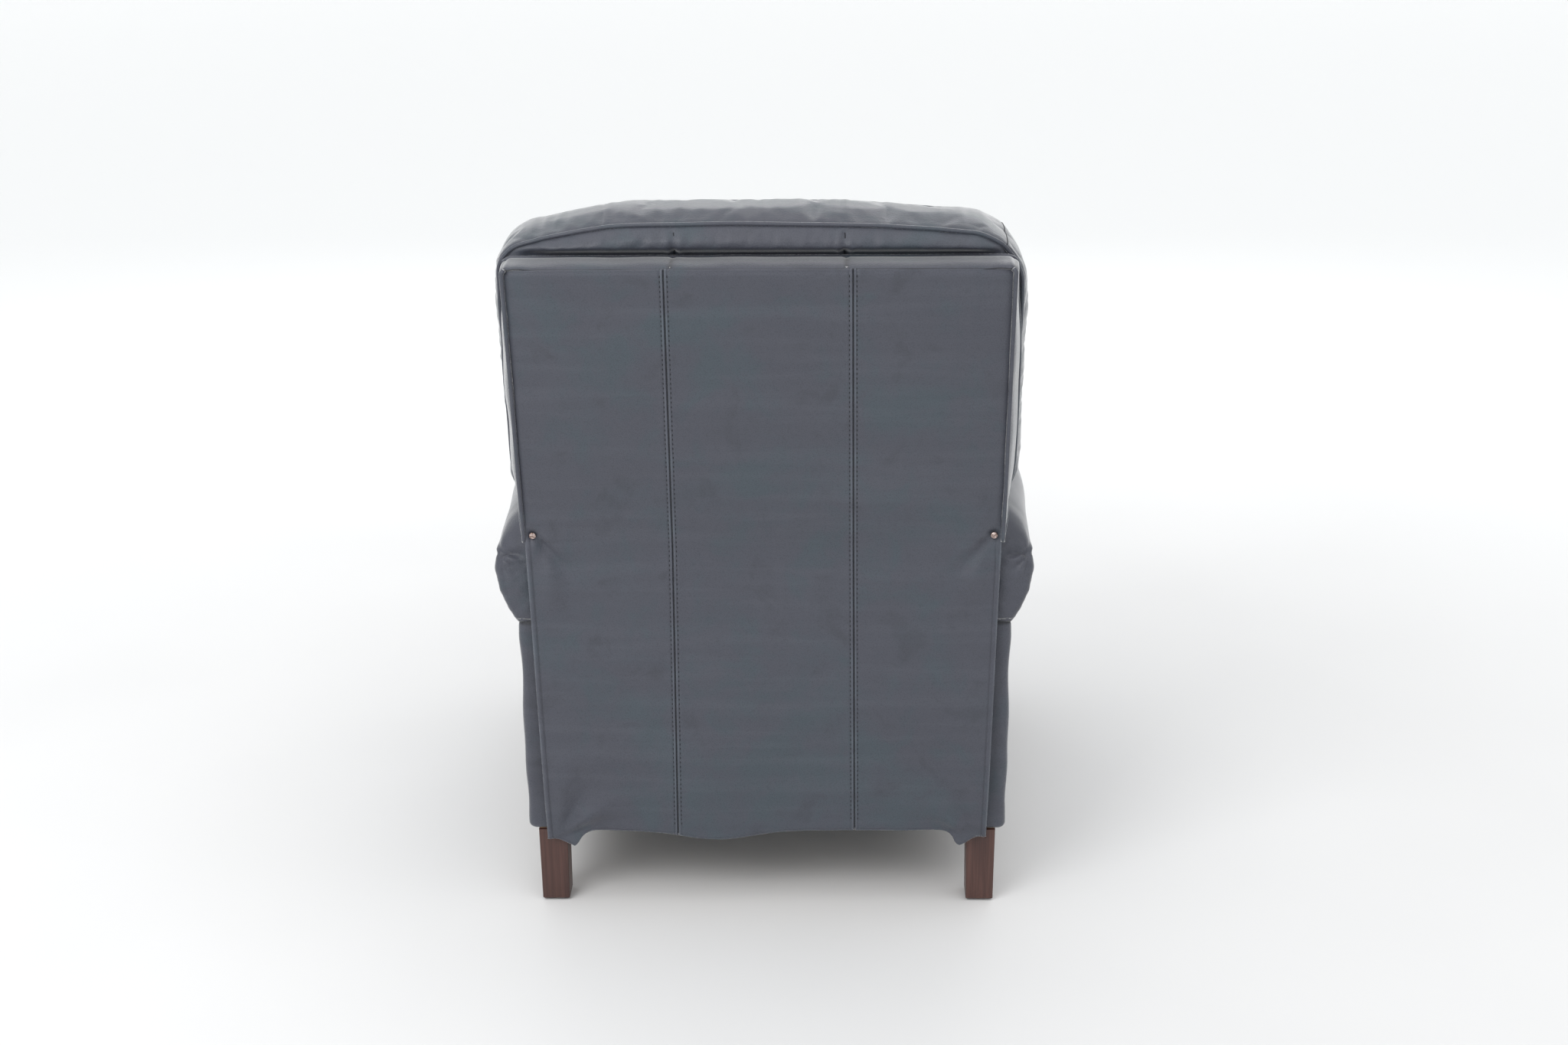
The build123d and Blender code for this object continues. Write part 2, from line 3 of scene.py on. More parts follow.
import bmesh
import bpy
import numpy as np
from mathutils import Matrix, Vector


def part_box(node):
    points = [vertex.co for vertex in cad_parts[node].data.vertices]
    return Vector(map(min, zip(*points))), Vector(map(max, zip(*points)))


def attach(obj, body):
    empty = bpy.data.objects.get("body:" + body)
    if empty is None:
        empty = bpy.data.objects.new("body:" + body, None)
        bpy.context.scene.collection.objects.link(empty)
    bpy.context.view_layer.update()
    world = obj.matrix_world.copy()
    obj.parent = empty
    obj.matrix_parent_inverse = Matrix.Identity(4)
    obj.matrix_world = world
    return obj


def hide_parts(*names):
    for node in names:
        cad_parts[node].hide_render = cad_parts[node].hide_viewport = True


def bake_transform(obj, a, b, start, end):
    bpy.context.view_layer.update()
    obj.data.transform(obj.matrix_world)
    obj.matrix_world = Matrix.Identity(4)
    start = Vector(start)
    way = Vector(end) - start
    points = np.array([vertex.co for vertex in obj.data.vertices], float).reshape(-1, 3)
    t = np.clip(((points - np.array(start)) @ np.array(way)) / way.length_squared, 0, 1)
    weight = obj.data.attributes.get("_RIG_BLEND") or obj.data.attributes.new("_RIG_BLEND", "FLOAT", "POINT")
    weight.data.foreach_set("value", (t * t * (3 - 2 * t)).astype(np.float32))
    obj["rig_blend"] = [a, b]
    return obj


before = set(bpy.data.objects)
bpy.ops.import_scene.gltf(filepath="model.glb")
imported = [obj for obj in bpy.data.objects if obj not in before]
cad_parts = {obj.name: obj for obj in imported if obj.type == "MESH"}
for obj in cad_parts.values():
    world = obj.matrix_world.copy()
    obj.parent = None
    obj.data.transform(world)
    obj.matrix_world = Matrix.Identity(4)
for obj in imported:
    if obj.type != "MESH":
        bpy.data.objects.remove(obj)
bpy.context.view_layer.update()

# Leather push-back recliner. Metres, in the frame of the CAD: the chair faces -Y, +X is
# the sitter's left, and the back leans rearward by LEAN.
LEAN = math.radians(10.86)
BACK_FOOT = np.array((0.0, 0.3854, 0.610))
ACROSS = np.array((1.0, 0.0, 0.0))
UP = np.array((0.0, math.sin(LEAN), math.cos(LEAN)))
FORWARD = np.array((0.0, -math.cos(LEAN), math.sin(LEAN)))
BACK_HALF = 0.349
BACK_TOP = 0.4225  # seam between the outside back and the top band, up the slope
BACK_CREST = 0.4245  # top of the band, up the slope
BACK_DEPTH = 0.066
BOXING_FLARE = 0.016  # the sides of the back widen towards the pillow
BOXING_FOOT = -0.009  # lower end of the side boxing, up the slope

HEM = 0.1300  # height of the flap's lower edge
HEM_HALF = 0.336
SEAM_TOP = 0.129  # distance of the two long seams from the middle
SEAM_HEM = 0.135
NAIL_X = 0.336
NAIL_Z = 0.612  # the flap hangs from a nailhead at each side

ROLL_OUT = 0.3970  # X of the widest line of an arm roll, at its rear
ROLL_SWELL = 0.0110  # the rolls are wider towards the front, away from their gathers
BASE_OUT = 0.3670  # X of the outside arm panels
ARM_IN = 0.260  # X of the inside arm panels
ARM_FOOT = 0.4675  # height of the seam under a roll
ARM_WIDEST = 0.558  # height of its widest line
ARM_TOP = 0.6355
CREST_X = 0.328  # X of its highest line
ARM_SHOULDER = 0.577  # height where the inside panel curves into the roll
INSIDE_FOOT = 0.302  # lower edge of the inside panel
REAR = 0.371  # Y of the rear and the front end of the arms
FRONT = -0.425
UNDERSIDE = 0.124  # lower edge of the outside arm panels
PLEAT = (0.3880, 0.5740)  # X and Z of the point where the rear end of a roll is gathered

LEATHER_GAUGE = 0.0022  # thickness of the leather
WELT = 0.0032  # radius of the piping


def smooth(low, high, value):
    """0 below low, 1 above high, and a smooth step between them."""
    t = np.clip((np.asarray(value, float) - low) / (high - low), 0, 1)
    return t * t * (3 - 2 * t)


def bump(value, centre, width):
    """A bell of height 1."""
    return np.exp(-(((np.asarray(value, float) - centre) / width) ** 2))


def swell(u, v, wave, seed):
    """Smooth unevenness of about -1 to 1 with the given wavelength, the same in each run."""
    draw = np.random.RandomState(seed)
    total = 0
    for _ in range(6):
        turn = draw.uniform(0, 2 * math.pi)
        pace = 2 * math.pi / (wave * draw.uniform(0.6, 1.7))
        across = u * math.cos(turn) + v * math.sin(turn)
        total = total + np.sin(pace * across + draw.uniform(0, 2 * math.pi))
    return total / 3


def crease(u, v, start, end, width):
    """A fold along a line: 1 on the line at its start, fading to 0 at its end and sides."""
    (u0, v0), (u1, v1) = start, end
    run = math.hypot(u1 - u0, v1 - v0)
    along = ((u - u0) * (u1 - u0) + (v - v0) * (v1 - v0)) / run
    across = ((v - v0) * (u1 - u0) - (u - u0) * (v1 - v0)) / run
    spread = width * (0.5 + 1.2 * np.clip(along / run, 0, 1))
    ends = smooth(-width, width, along) * (1 - smooth(0.35 * run, run, along))
    return np.exp(-((across / spread) ** 2)) * ends


def back_point(x, up, depth):
    """World points from across, up the slope, and forward of the back's rear face."""
    x, up, depth = np.broadcast_arrays(*(np.asarray(a, float) for a in (x, up, depth)))
    return BACK_FOOT + x[..., None] * ACROSS + up[..., None] * UP + depth[..., None] * FORWARD


# Meshes.
def mesh_object(name, points, faces):
    mesh = bpy.data.meshes.new(name)
    mesh.from_pydata([tuple(p) for p in np.asarray(points).reshape(-1, 3)], [], faces)
    mesh.polygons.foreach_set("use_smooth", [True] * len(mesh.polygons))
    piece = bpy.data.objects.new(name, mesh)
    bpy.context.scene.collection.objects.link(piece)
    return piece


def grid_faces(rows, columns, ring=False, first=0):
    """Quads over a grid of points; ring joins the last column to the first."""
    faces = []
    for i in range(rows - 1):
        for j in range(columns if ring else columns - 1):
            k = (j + 1) % columns
            quad = (i * columns + j, i * columns + k, (i + 1) * columns + k, (i + 1) * columns + j)
            faces.append(tuple(first + q for q in quad))
    return faces


def grid_object(name, points, ring=False):
    rows, columns = points.shape[:2]
    return mesh_object(name, points, grid_faces(rows, columns, ring))


def read_points(piece):
    co = np.empty(len(piece.data.vertices) * 3)
    piece.data.vertices.foreach_get("co", co)
    return co.reshape(-1, 3)


def write_points(piece, points):
    piece.data.vertices.foreach_set("co", np.asarray(points, np.float32).ravel())
    piece.data.update()


def read_normals(piece):
    normals = np.empty(len(piece.data.vertices) * 3, np.float32)
    piece.data.vertex_normals.foreach_get("vector", normals)
    return normals.reshape(-1, 3)


def paint(piece, name, values):
    """Writes one number per vertex for the material to read."""
    attribute = piece.data.attributes.new(name, "FLOAT", "POINT")
    attribute.data.foreach_set("value", np.asarray(values, np.float32).ravel())


def settle(piece):
    """Applies the piece's modifiers to its mesh."""
    graph = bpy.context.evaluated_depsgraph_get()
    mesh = bpy.data.meshes.new_from_object(
        piece.evaluated_get(graph), preserve_all_data_layers=True, depsgraph=graph
    )
    piece.modifiers.clear()
    piece.data = mesh
    mesh.polygons.foreach_set("use_smooth", [True] * len(mesh.polygons))
    return piece


def thicken(piece, gauge):
    """Gives an open sheet its gauge, on the side away from its faces' normals."""
    solid = piece.modifiers.new("gauge", "SOLIDIFY")
    solid.thickness = gauge
    solid.offset = -1
    return settle(piece)


def refine(piece):
    subdivision = piece.modifiers.new("refine", "SUBSURF")
    subdivision.levels = subdivision.render_levels = 1
    return settle(piece)


def joined(name, pieces):
    """One object out of several meshes with the same materials."""
    points, faces, first = [], [], 0
    for piece in pieces:
        points.append(read_points(piece))
        faces += [tuple(first + i for i in p.vertices) for p in piece.data.polygons]
        first += len(piece.data.vertices)
        bpy.data.objects.remove(piece)
    return mesh_object(name, np.concatenate(points), faces)


def cord_mesh(name, path, radius, closed=False, sides=10):
    """A round sewn cord along a path of points."""
    path = np.asarray(path, float)
    if closed:
        ahead, behind = np.roll(path, -1, 0), np.roll(path, 1, 0)
    else:
        ahead = np.vstack((path[1:], path[-1:]))
        behind = np.vstack((path[:1], path[:-1]))
    along = ahead - behind
    along /= np.linalg.norm(along, axis=1, keepdims=True)
    side = np.cross(along[0], (0.31, 0.52, 0.80))
    rings = []
    for point, direction in zip(path, along):
        side = side - direction * (side @ direction)
        side /= np.linalg.norm(side)
        third = np.cross(direction, side)
        turns = np.linspace(0, 2 * math.pi, sides, endpoint=False)[:, None]
        rings.append(point + radius * (np.cos(turns) * side + np.sin(turns) * third))
    rings = np.array(rings)
    if closed:
        gap = np.linalg.norm(rings[0] - rings[-1, :1], axis=1).argmin()
        rings = np.concatenate((rings, np.roll(rings[:1], -gap, 1)))
    faces = grid_faces(len(rings), sides, ring=True)
    if not closed:
        last = (len(rings) - 1) * sides
        faces += [tuple(range(sides))[::-1], tuple(last + i for i in range(sides))]
    return weld(mesh_object(name, rings, faces))


def weld(piece):
    """Joins points that coincide, and turns the faces of a closed form outward."""
    work = bmesh.new()
    work.from_mesh(piece.data)
    bmesh.ops.remove_doubles(work, verts=work.verts, dist=1e-5)
    bmesh.ops.recalc_face_normals(work, faces=work.faces)
    work.to_mesh(piece.data)
    work.free()
    piece.data.polygons.foreach_set("use_smooth", [True] * len(piece.data.polygons))
    return piece


def mirrored(piece, name):
    """A copy of a leather piece on the other side of the chair."""
    points = read_points(piece) * (-1, 1, 1)
    faces = [tuple(p.vertices)[::-1] for p in piece.data.polygons]
    twin = mesh_object(name, points, faces)
    for attribute in piece.data.attributes:
        if attribute.name in ("shaded_seam", "wear_and_highlight"):
            values = np.empty(len(points), np.float32)
            attribute.data.foreach_get("value", values)
            paint(twin, attribute.name, values)
    return cover(twin, LEATHER)


def resampled(path, step, closed=False):
    """The path with points at even steps along its length."""
    path = np.asarray(path, float)
    if closed:
        path = np.vstack((path, path[:1]))
    lengths = np.concatenate(([0], np.cumsum(np.linalg.norm(np.diff(path, axis=0), axis=1))))
    count = max(3, int(round(lengths[-1] / step)) + 1)
    places = np.linspace(0, lengths[-1], count)
    points = np.stack([np.interp(places, lengths, path[:, k]) for k in range(path.shape[1])], 1)
    return points[:-1] if closed else points


def rounded(corners, radii, step=0.006):
    """A closed outline through the corners, each turned with its own radius."""
    corners = [np.array(c, float) for c in corners]
    path = []
    for i, (corner, radius) in enumerate(zip(corners, radii)):
        into = corner - corners[i - 1]
        out = corners[(i + 1) % len(corners)] - corner
        into, out = into / np.linalg.norm(into), out / np.linalg.norm(out)
        turn = math.acos(float(np.clip(into @ out, -1, 1)))
        if radius <= 0 or turn < 1e-3:
            path.append(corner)
            continue
        tangent = radius * math.tan(turn / 2)
        first = corner - into * tangent
        inward = (out - into * (into @ out)) / math.sin(turn)
        centre = first + inward * radius
        for share in np.linspace(0, 1, max(3, int(radius * turn / step) + 2)):
            angle = share * turn
            path.append(centre + radius * (-inward * math.cos(angle) + into * math.sin(angle)))
    return resampled(path, step, closed=True)


# Materials.
def srgb(red, green, blue):
    """Linear colour from 8-bit sRGB values."""
    def linear(value):
        value /= 255
        return value / 12.92 if value <= 0.04045 else ((value + 0.055) / 1.055) ** 2.4

    return (linear(red), linear(green), linear(blue), 1.0)


class Nodes:
    """Short calls for one material's node tree. An input is a number, a colour or a socket."""

    def __init__(self, name):
        self.material = bpy.data.materials.new(name)
        self.material.use_nodes = True
        self.tree = self.material.node_tree
        self.shader = self.tree.nodes["Principled BSDF"]
        self.place = self.add("TexCoord", "Object", {})

    def feed(self, socket, value):
        if isinstance(value, bpy.types.NodeSocket):
            self.tree.links.new(value, socket)
        else:
            socket.default_value = value

    def add(self, kind, output, inputs, **settings):
        node = self.tree.nodes.new("ShaderNode" + kind)
        for key, value in settings.items():
            setattr(node, key, value)
        for key, value in inputs.items():
            self.feed(node.inputs[key], value)
        return node.outputs[output]

    def stretched(self, scale, turn=(0, 0, 0)):
        return self.add("Mapping", "Vector", {"Vector": self.place, "Scale": scale,
                                              "Rotation": turn})

    def noise(self, scale, detail=3.0, roughness=0.5, distortion=0.0, place=None):
        return self.add("TexNoise", "Fac", {
            "Vector": place or self.place, "Scale": scale, "Detail": detail,
            "Roughness": roughness, "Distortion": distortion})

    def cells(self, scale, feature="F1", place=None):
        inputs = {"Vector": place or self.place, "Scale": scale}
        return self.add("TexVoronoi", "Distance", inputs, feature=feature)

    def ramp(self, source, low, high, bottom=0.0, top=1.0):
        inputs = {"Value": source, "From Min": low, "From Max": high, "To Min": bottom,
                  "To Max": top}
        return self.add("MapRange", "Result", inputs, interpolation_type="SMOOTHSTEP")

    def sum(self, first, second, share=1.0):
        inputs = {0: second, 1: share, 2: first}
        return self.add("Math", 0, inputs, operation="MULTIPLY_ADD")

    def product(self, first, second):
        return self.add("Math", 0, {0: first, 1: second}, operation="MULTIPLY")

    def attribute(self, name):
        return self.add("Attribute", "Fac", {}, attribute_name=name)

    def mix(self, factor, first, second):
        return self.add("Mix", 2, {0: factor, 6: first, 7: second}, data_type="RGBA")

    def relief(self, height, distance, strength=1.0):
        inputs = {"Height": height, "Distance": distance, "Strength": strength}
        self.feed(self.shader.inputs["Normal"], self.add("Bump", "Normal", inputs))

    def finish(self, colour, roughness, **sockets):
        self.feed(self.shader.inputs["Base Color"], colour)
        self.feed(self.shader.inputs["Roughness"], roughness)
        for name, value in sockets.items():
            self.feed(self.shader.inputs[name.replace("_", " ")], value)
        return self.material


def leather_material(name):
    """Blue-grey pull-up leather: cloudy colour, faint streaks, pebble grain and creases."""
    n = Nodes(name)
    slate, teal, plum = srgb(64, 68, 78), srgb(61, 71, 79), srgb(65, 67, 77)
    pale, dark = srgb(112, 118, 128), srgb(29, 31, 38)
    clouds = n.noise(4.2, 4.0, 0.55, 0.9)
    blotches = n.noise(17.0, 5.0, 0.62, 0.5)
    streaks = n.noise(1.0, 4.0, 0.55, 0.3, n.stretched((3.0, 3.0, 46.0)))
    colour = n.mix(n.ramp(clouds, 0.44, 0.62), plum, slate)
    colour = n.mix(n.ramp(n.sum(blotches, clouds, 0.8), 0.86, 1.12, 0.0, 0.85), colour, teal)
    colour = n.mix(n.ramp(streaks, 0.42, 0.72, 0.0, 0.07), colour, pale)
    colour = n.mix(n.ramp(blotches, 0.30, 0.46, 0.22, 0.0), colour, dark)
    pebbles = n.cells(640.0, "SMOOTH_F1", n.stretched((1.0, 1.0, 1.0), (0.4, 0.9, 0.2)))
    pores = n.noise(1500.0, 2.0)
    creases = n.noise(62.0, 6.0, 0.66, 1.6)
    colour = n.mix(n.ramp(pebbles, 0.35, 0.75, 0.0, 0.22), colour, dark)
    shaded_seam = n.attribute("shaded_seam")
    wear_and_highlight = n.attribute("wear_and_highlight")
    # Painted highlight, partly rub wear: the attribute read here lightens ridges, edges and arm crests
    # towards pale.
    colour = n.mix(n.product(wear_and_highlight, n.ramp(blotches, 0.35, 0.65, 0.35, 1.0)), colour, pale)
    # Painted shade: the attribute read here darkens seams, grooves, gathers and the leather under the rolls
    # towards dark.
    colour = n.mix(n.ramp(shaded_seam, 0.0, 1.0, 0.0, 0.92), colour, dark)
    height = n.sum(n.sum(n.ramp(pebbles, 0.1, 0.7, 1.0, 0.0), pores, 0.35), creases, 1.3)
    n.relief(height, 0.00034, 0.55)
    roughness = n.sum(n.ramp(blotches, 0.35, 0.65, 0.43, 0.55), pebbles, 0.10)
    return n.finish(colour, roughness, Specular_IOR_Level=0.52, Sheen_Weight=1.0,
                    Sheen_Roughness=0.30, Coat_Weight=0.05, Coat_Roughness=0.38)


def times(colour, share):
    """The colour made darker or lighter."""
    return tuple(share * c for c in colour[:3]) + (1.0,)


def wood_material(name, light, deep, gloss, turn=(0, 0, 0)):
    """Timber with grain along local Z after the turn: bands, fine fibres and pores."""
    n = Nodes(name)
    along = n.stretched((34.0, 34.0, 2.6), turn)
    fibre = n.stretched((420.0, 420.0, 9.0), turn)
    bands = n.noise(1.0, 4.0, 0.6, 0.7, along)
    fibres = n.noise(1.0, 3.0, 0.55, 0.1, fibre)
    cloud = n.noise(9.0, 3.0)
    colour = n.mix(n.ramp(n.sum(bands, cloud, 0.35), 0.48, 0.86), deep, light)
    colour = n.mix(n.ramp(fibres, 0.36, 0.60, 0.34, 0.0), colour, times(deep, 0.45))
    n.relief(n.sum(bands, fibres, 0.8), 0.0005, 0.35)
    return n.finish(colour, n.ramp(fibres, 0.3, 0.7, gloss + 0.12, gloss),
                    Specular_IOR_Level=0.45, Coat_Weight=0.12, Coat_Roughness=0.25)


def metal_material(name, bright, dull, roughness, scale=90.0):
    """Metal with drawn streaks and darker tarnish in patches."""
    n = Nodes(name)
    patches = n.noise(scale, 4.0, 0.6, 0.6)
    lines = n.noise(1.0, 3.0, 0.6, 0.0, n.stretched((25.0, 700.0, 700.0)))
    colour = n.mix(n.ramp(patches, 0.38, 0.66), dull, bright)
    n.relief(n.sum(patches, lines, 0.5), 0.00012, 0.4)
    rough = n.ramp(lines, 0.3, 0.7, roughness, roughness + 0.16)
    return n.finish(colour, rough, Metallic=1.0)


def plastic_material(name, colour, roughness):
    n = Nodes(name)
    specks = n.noise(900.0, 2.0)
    cloud = n.noise(40.0, 3.0)
    tone = n.mix(n.ramp(cloud, 0.35, 0.7), colour, times(colour, 1.5))
    n.relief(specks, 0.0001, 0.5)
    return n.finish(tone, n.ramp(cloud, 0.3, 0.7, roughness, roughness + 0.1))


def cloth_material(name, colour):
    """Thin non-woven cloth: pressed fibres and a fine dimple pattern."""
    n = Nodes(name)
    fibres = n.noise(380.0, 5.0, 0.75, 1.2)
    cloud = n.noise(12.0, 3.0)
    dimples = n.cells(420.0)
    tone = n.mix(n.ramp(n.sum(fibres, cloud, 0.5), 0.5, 0.95), colour, times(colour, 2.4))
    n.relief(n.sum(fibres, dimples, 0.8), 0.0003, 0.7)
    return n.finish(tone, 0.92, Specular_IOR_Level=0.15, Sheen_Weight=0.3, Sheen_Roughness=0.5)


LEATHER = leather_material("leather")
THREAD = plastic_material("sewing_thread", srgb(22, 24, 30), 0.6)
STAINED_WOOD = wood_material("stained_wood", srgb(86, 57, 50), srgb(68, 43, 38), 0.34)
TIMBER = {
    label: wood_material(name, srgb(206, 170, 122), srgb(164, 124, 82), 0.62, turn)
    for label, name, turn in (
        ("upright", "frame_timber_upright", (0, 0, 0)),
        ("deep", "frame_timber_deep", (math.pi / 2, 0, 0)),
        ("cross", "frame_timber_cross", (0, math.pi / 2, 0)),
    )
}
STEEL = metal_material("mechanism_steel", srgb(92, 94, 98), srgb(44, 45, 48), 0.34)
ZINC = metal_material("zinc_steel", srgb(196, 198, 200), srgb(140, 143, 148), 0.28)
SPRING = metal_material("spring_wire", srgb(120, 122, 126), srgb(62, 62, 64), 0.32)
BRASS = metal_material("antique_brass", srgb(226, 208, 202), srgb(128, 108, 100), 0.22, 260.0)
GLIDE = plastic_material("glide_plastic", srgb(46, 44, 42), 0.45)
DUST_CLOTH = cloth_material("dust_cloth", srgb(30, 31, 34))


def cover(piece, material):
    """Gives a new piece its material."""
    piece.data.materials.clear()
    piece.data.materials.append(material)
    return piece


def finish_cad_nodes():
    """Gives each CAD node that stays in sight its detailed material."""
    finishes = (
        (STAINED_WOOD, "_leg_"),
        (TIMBER["deep"], "side_rail top_board inner_arm_rail corner_blocks"),
        (TIMBER["cross"], "front_rail rear_rail lower_rail top_rail legrest_board"),
        (TIMBER["upright"], "post stile"),
        (SPRING, "springs"),
        (ZINC, "bolts pins"),
        (GLIDE, "glides"),
        (BRASS, "nailheads"),
        (STEEL, "cross_tube links hangers brackets plate"),
    )
    for name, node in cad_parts.items():
        for material, words in finishes:
            if any(word in name for word in words.split()):
                node.data.materials.clear()
                node.data.materials.append(material)
                break


# Outside back and hanging flap: one leather sheet in three sewn panels.
def back_line(along):
    """Y and Z of the sheet at a distance below its top seam, without its unevenness."""
    bend = BACK_TOP + 0.004
    turn = 0.060  # length over which the sheet changes from the slope to hanging
    angle = LEAN * (1 - smooth(bend - turn / 2, bend + turn / 2, along))
    step = np.diff(along, prepend=along[0])
    y = BACK_FOOT[1] + BACK_TOP * math.sin(LEAN) - np.cumsum(np.sin(angle) * step)
    z = BACK_FOOT[2] + BACK_TOP * math.cos(LEAN) - np.cumsum(np.cos(angle) * step)
    return y, z, angle


def hem_height(x):
    """Lower edge of the flap: slack in the middle, with corners that droop over the legs."""
    return (
        HEM
        - 0.0140 * bump(x, 0.068, 0.070)
        + 0.0015 * bump(x, -0.2, 0.12)
        - 0.0292 * np.exp(np.minimum(x - 0.3020, 0) / 0.0110)
        + 0.0048 * smooth(0.3020, 0.309, x)
        + 0.0090 * smooth(0.306, 0.336, x)
        - 0.0262 * np.exp(np.minimum(-x - 0.3005, 0) / 0.0080)
        + 0.0150 * smooth(0.3005, 0.336, -x)
    )


def seam_relief(distance):
    """A joined seam: a sharp valley, a ridge over each allowance, and two stitched dips."""
    away = np.abs(distance)
    return (
        -0.0020 * np.exp(-((away / 0.0009) ** 2))
        + 0.0010 * np.exp(-(((away - 0.0026) / 0.0016) ** 2))
        - 0.0008 * np.exp(-(((away - 0.0052) / 0.0010) ** 2))
        + 0.0003 * np.exp(-(((away - 0.0080) / 0.0022) ** 2))
    )


def back_relief(x, z, half):
    """How far the sheet stands out from its smooth line, in metres."""
    hang = 1 - smooth(0.575, 0.640, z)
    edge = np.abs(x) / half
    puff = 0.0042 * (1 - np.clip(edge, 0, 1) ** 8) * (1 - hang)
    puff = puff - 0.0022 * smooth(0.965, 1.0, edge) * (1 - hang)
    slack = 0.0016 * swell(x, z * 0.45, 0.24, 11) + 0.0007 * swell(x, z, 0.085, 12)
    belly = 0.0030 * bump(z, 0.33, 0.16) - 0.0015 * bump(x, 0.0, 0.10)
    out = puff + slack * (0.35 + 0.65 * hang) + belly * hang
    for side, strength in ((1, 1.0), (-1, 0.7)):
        u = side * x
        pull = np.exp(-(((u - NAIL_X) ** 2 + (z - NAIL_Z) ** 2) / 0.0095**2))
        out -= 0.0078 * pull
        for end, amount in (
            ((0.272, 0.530), -0.0096),
            ((0.250, 0.588), -0.0018),
            ((0.310, 0.505), -0.0024),
            ((0.333, 0.480), -0.0016),
        ):
            out += strength * amount * crease(u, z, (NAIL_X - 0.010, 0.604), end, 0.0105)
        out += strength * 0.0026 * crease(u, z, (NAIL_X - 0.022, 0.607), (0.266, 0.574), 0.008)
        out += strength * 0.0110 * bump(u, 0.314, 0.019) * bump(z, 0.553, 0.036)
        # The corner is caught on the leg, so folds run from it up and towards the middle.
        for end, amount in (
            ((0.205, 0.205), 0.0052),
            ((0.250, 0.245), -0.0044),
            ((0.178, 0.160), -0.0046),
            ((0.296, 0.300), 0.0028),
        ):
            out += strength * amount * crease(u, z, (0.318, 0.118), end, 0.011)
    hem_roll = 0.0016 * np.exp(-(((np.abs(x) - half + 0.0042) / 0.0028) ** 2))
    hem_line = -0.0008 * np.exp(-(((np.abs(x) - half + 0.0078) / 0.0010) ** 2))
    return out + (hem_roll + hem_line) * hang


def cover_columns():
    """Positions across the sheet at its top, closer together at the seams and edges."""
    near = np.array((0.6, 1.2, 1.8, 2.6, 3.4, 4.3, 5.2, 6.2, 7.4, 9.2, 12.0)) / 1000
    beside = np.concatenate((-near[::-1], [0], near))
    middle = np.linspace(-SEAM_TOP + 0.017, SEAM_TOP - 0.017, 42)
    outer = np.linspace(SEAM_TOP + 0.017, BACK_HALF - 0.018, 36)
    rim = np.array((15.5, 13.0, 10.8, 9.4, 8.5, 7.8, 7.1, 6.0, 4.4, 2.8, 1.2, 0.0)) / 1000
    right = np.concatenate((SEAM_TOP + beside, outer, BACK_HALF - rim))
    return np.concatenate((-right[::-1], middle, right))


def sheet_point_grid():
    """The sheet's points without relief, with each row's place, lean and half width."""
    length = BACK_TOP + (BACK_FOOT[2] - HEM)
    along = np.concatenate((
        np.linspace(0, 0.012, 7)[:-1],
        np.linspace(0.012, BACK_TOP - 0.05, 74)[:-1],
        np.linspace(BACK_TOP - 0.05, BACK_TOP + 0.11, 46)[:-1],
        np.linspace(BACK_TOP + 0.11, length - 0.02, 78)[:-1],
        np.linspace(length - 0.02, length, 6),
    ))
    columns = cover_columns()
    y, z, angle = back_line(along)
    hem = hem_height(columns)
    share = smooth(0.55, 1.0, along / length)[:, None]
    drop = share * (hem[None, :] - HEM)
    half = np.interp(along, (0, 0.16, 0.30, BACK_TOP, length),
                     (BACK_HALF - 0.001, 0.3495, 0.3500, 0.3475, HEM_HALF))
    away = np.abs(columns)[None, :]
    seam_x = (SEAM_TOP + (SEAM_HEM - SEAM_TOP) * along / length)[:, None]
    inside = away / SEAM_TOP * seam_x
    beyond = seam_x + (away - SEAM_TOP) * (half[:, None] - seam_x) / (BACK_HALF - SEAM_TOP)
    x = np.sign(columns)[None, :] * np.where(away > SEAM_TOP, beyond, inside)
    points = np.stack(np.broadcast_arrays(x, y[:, None], z[:, None] + drop), -1).copy()
    return along, columns, angle, half, points


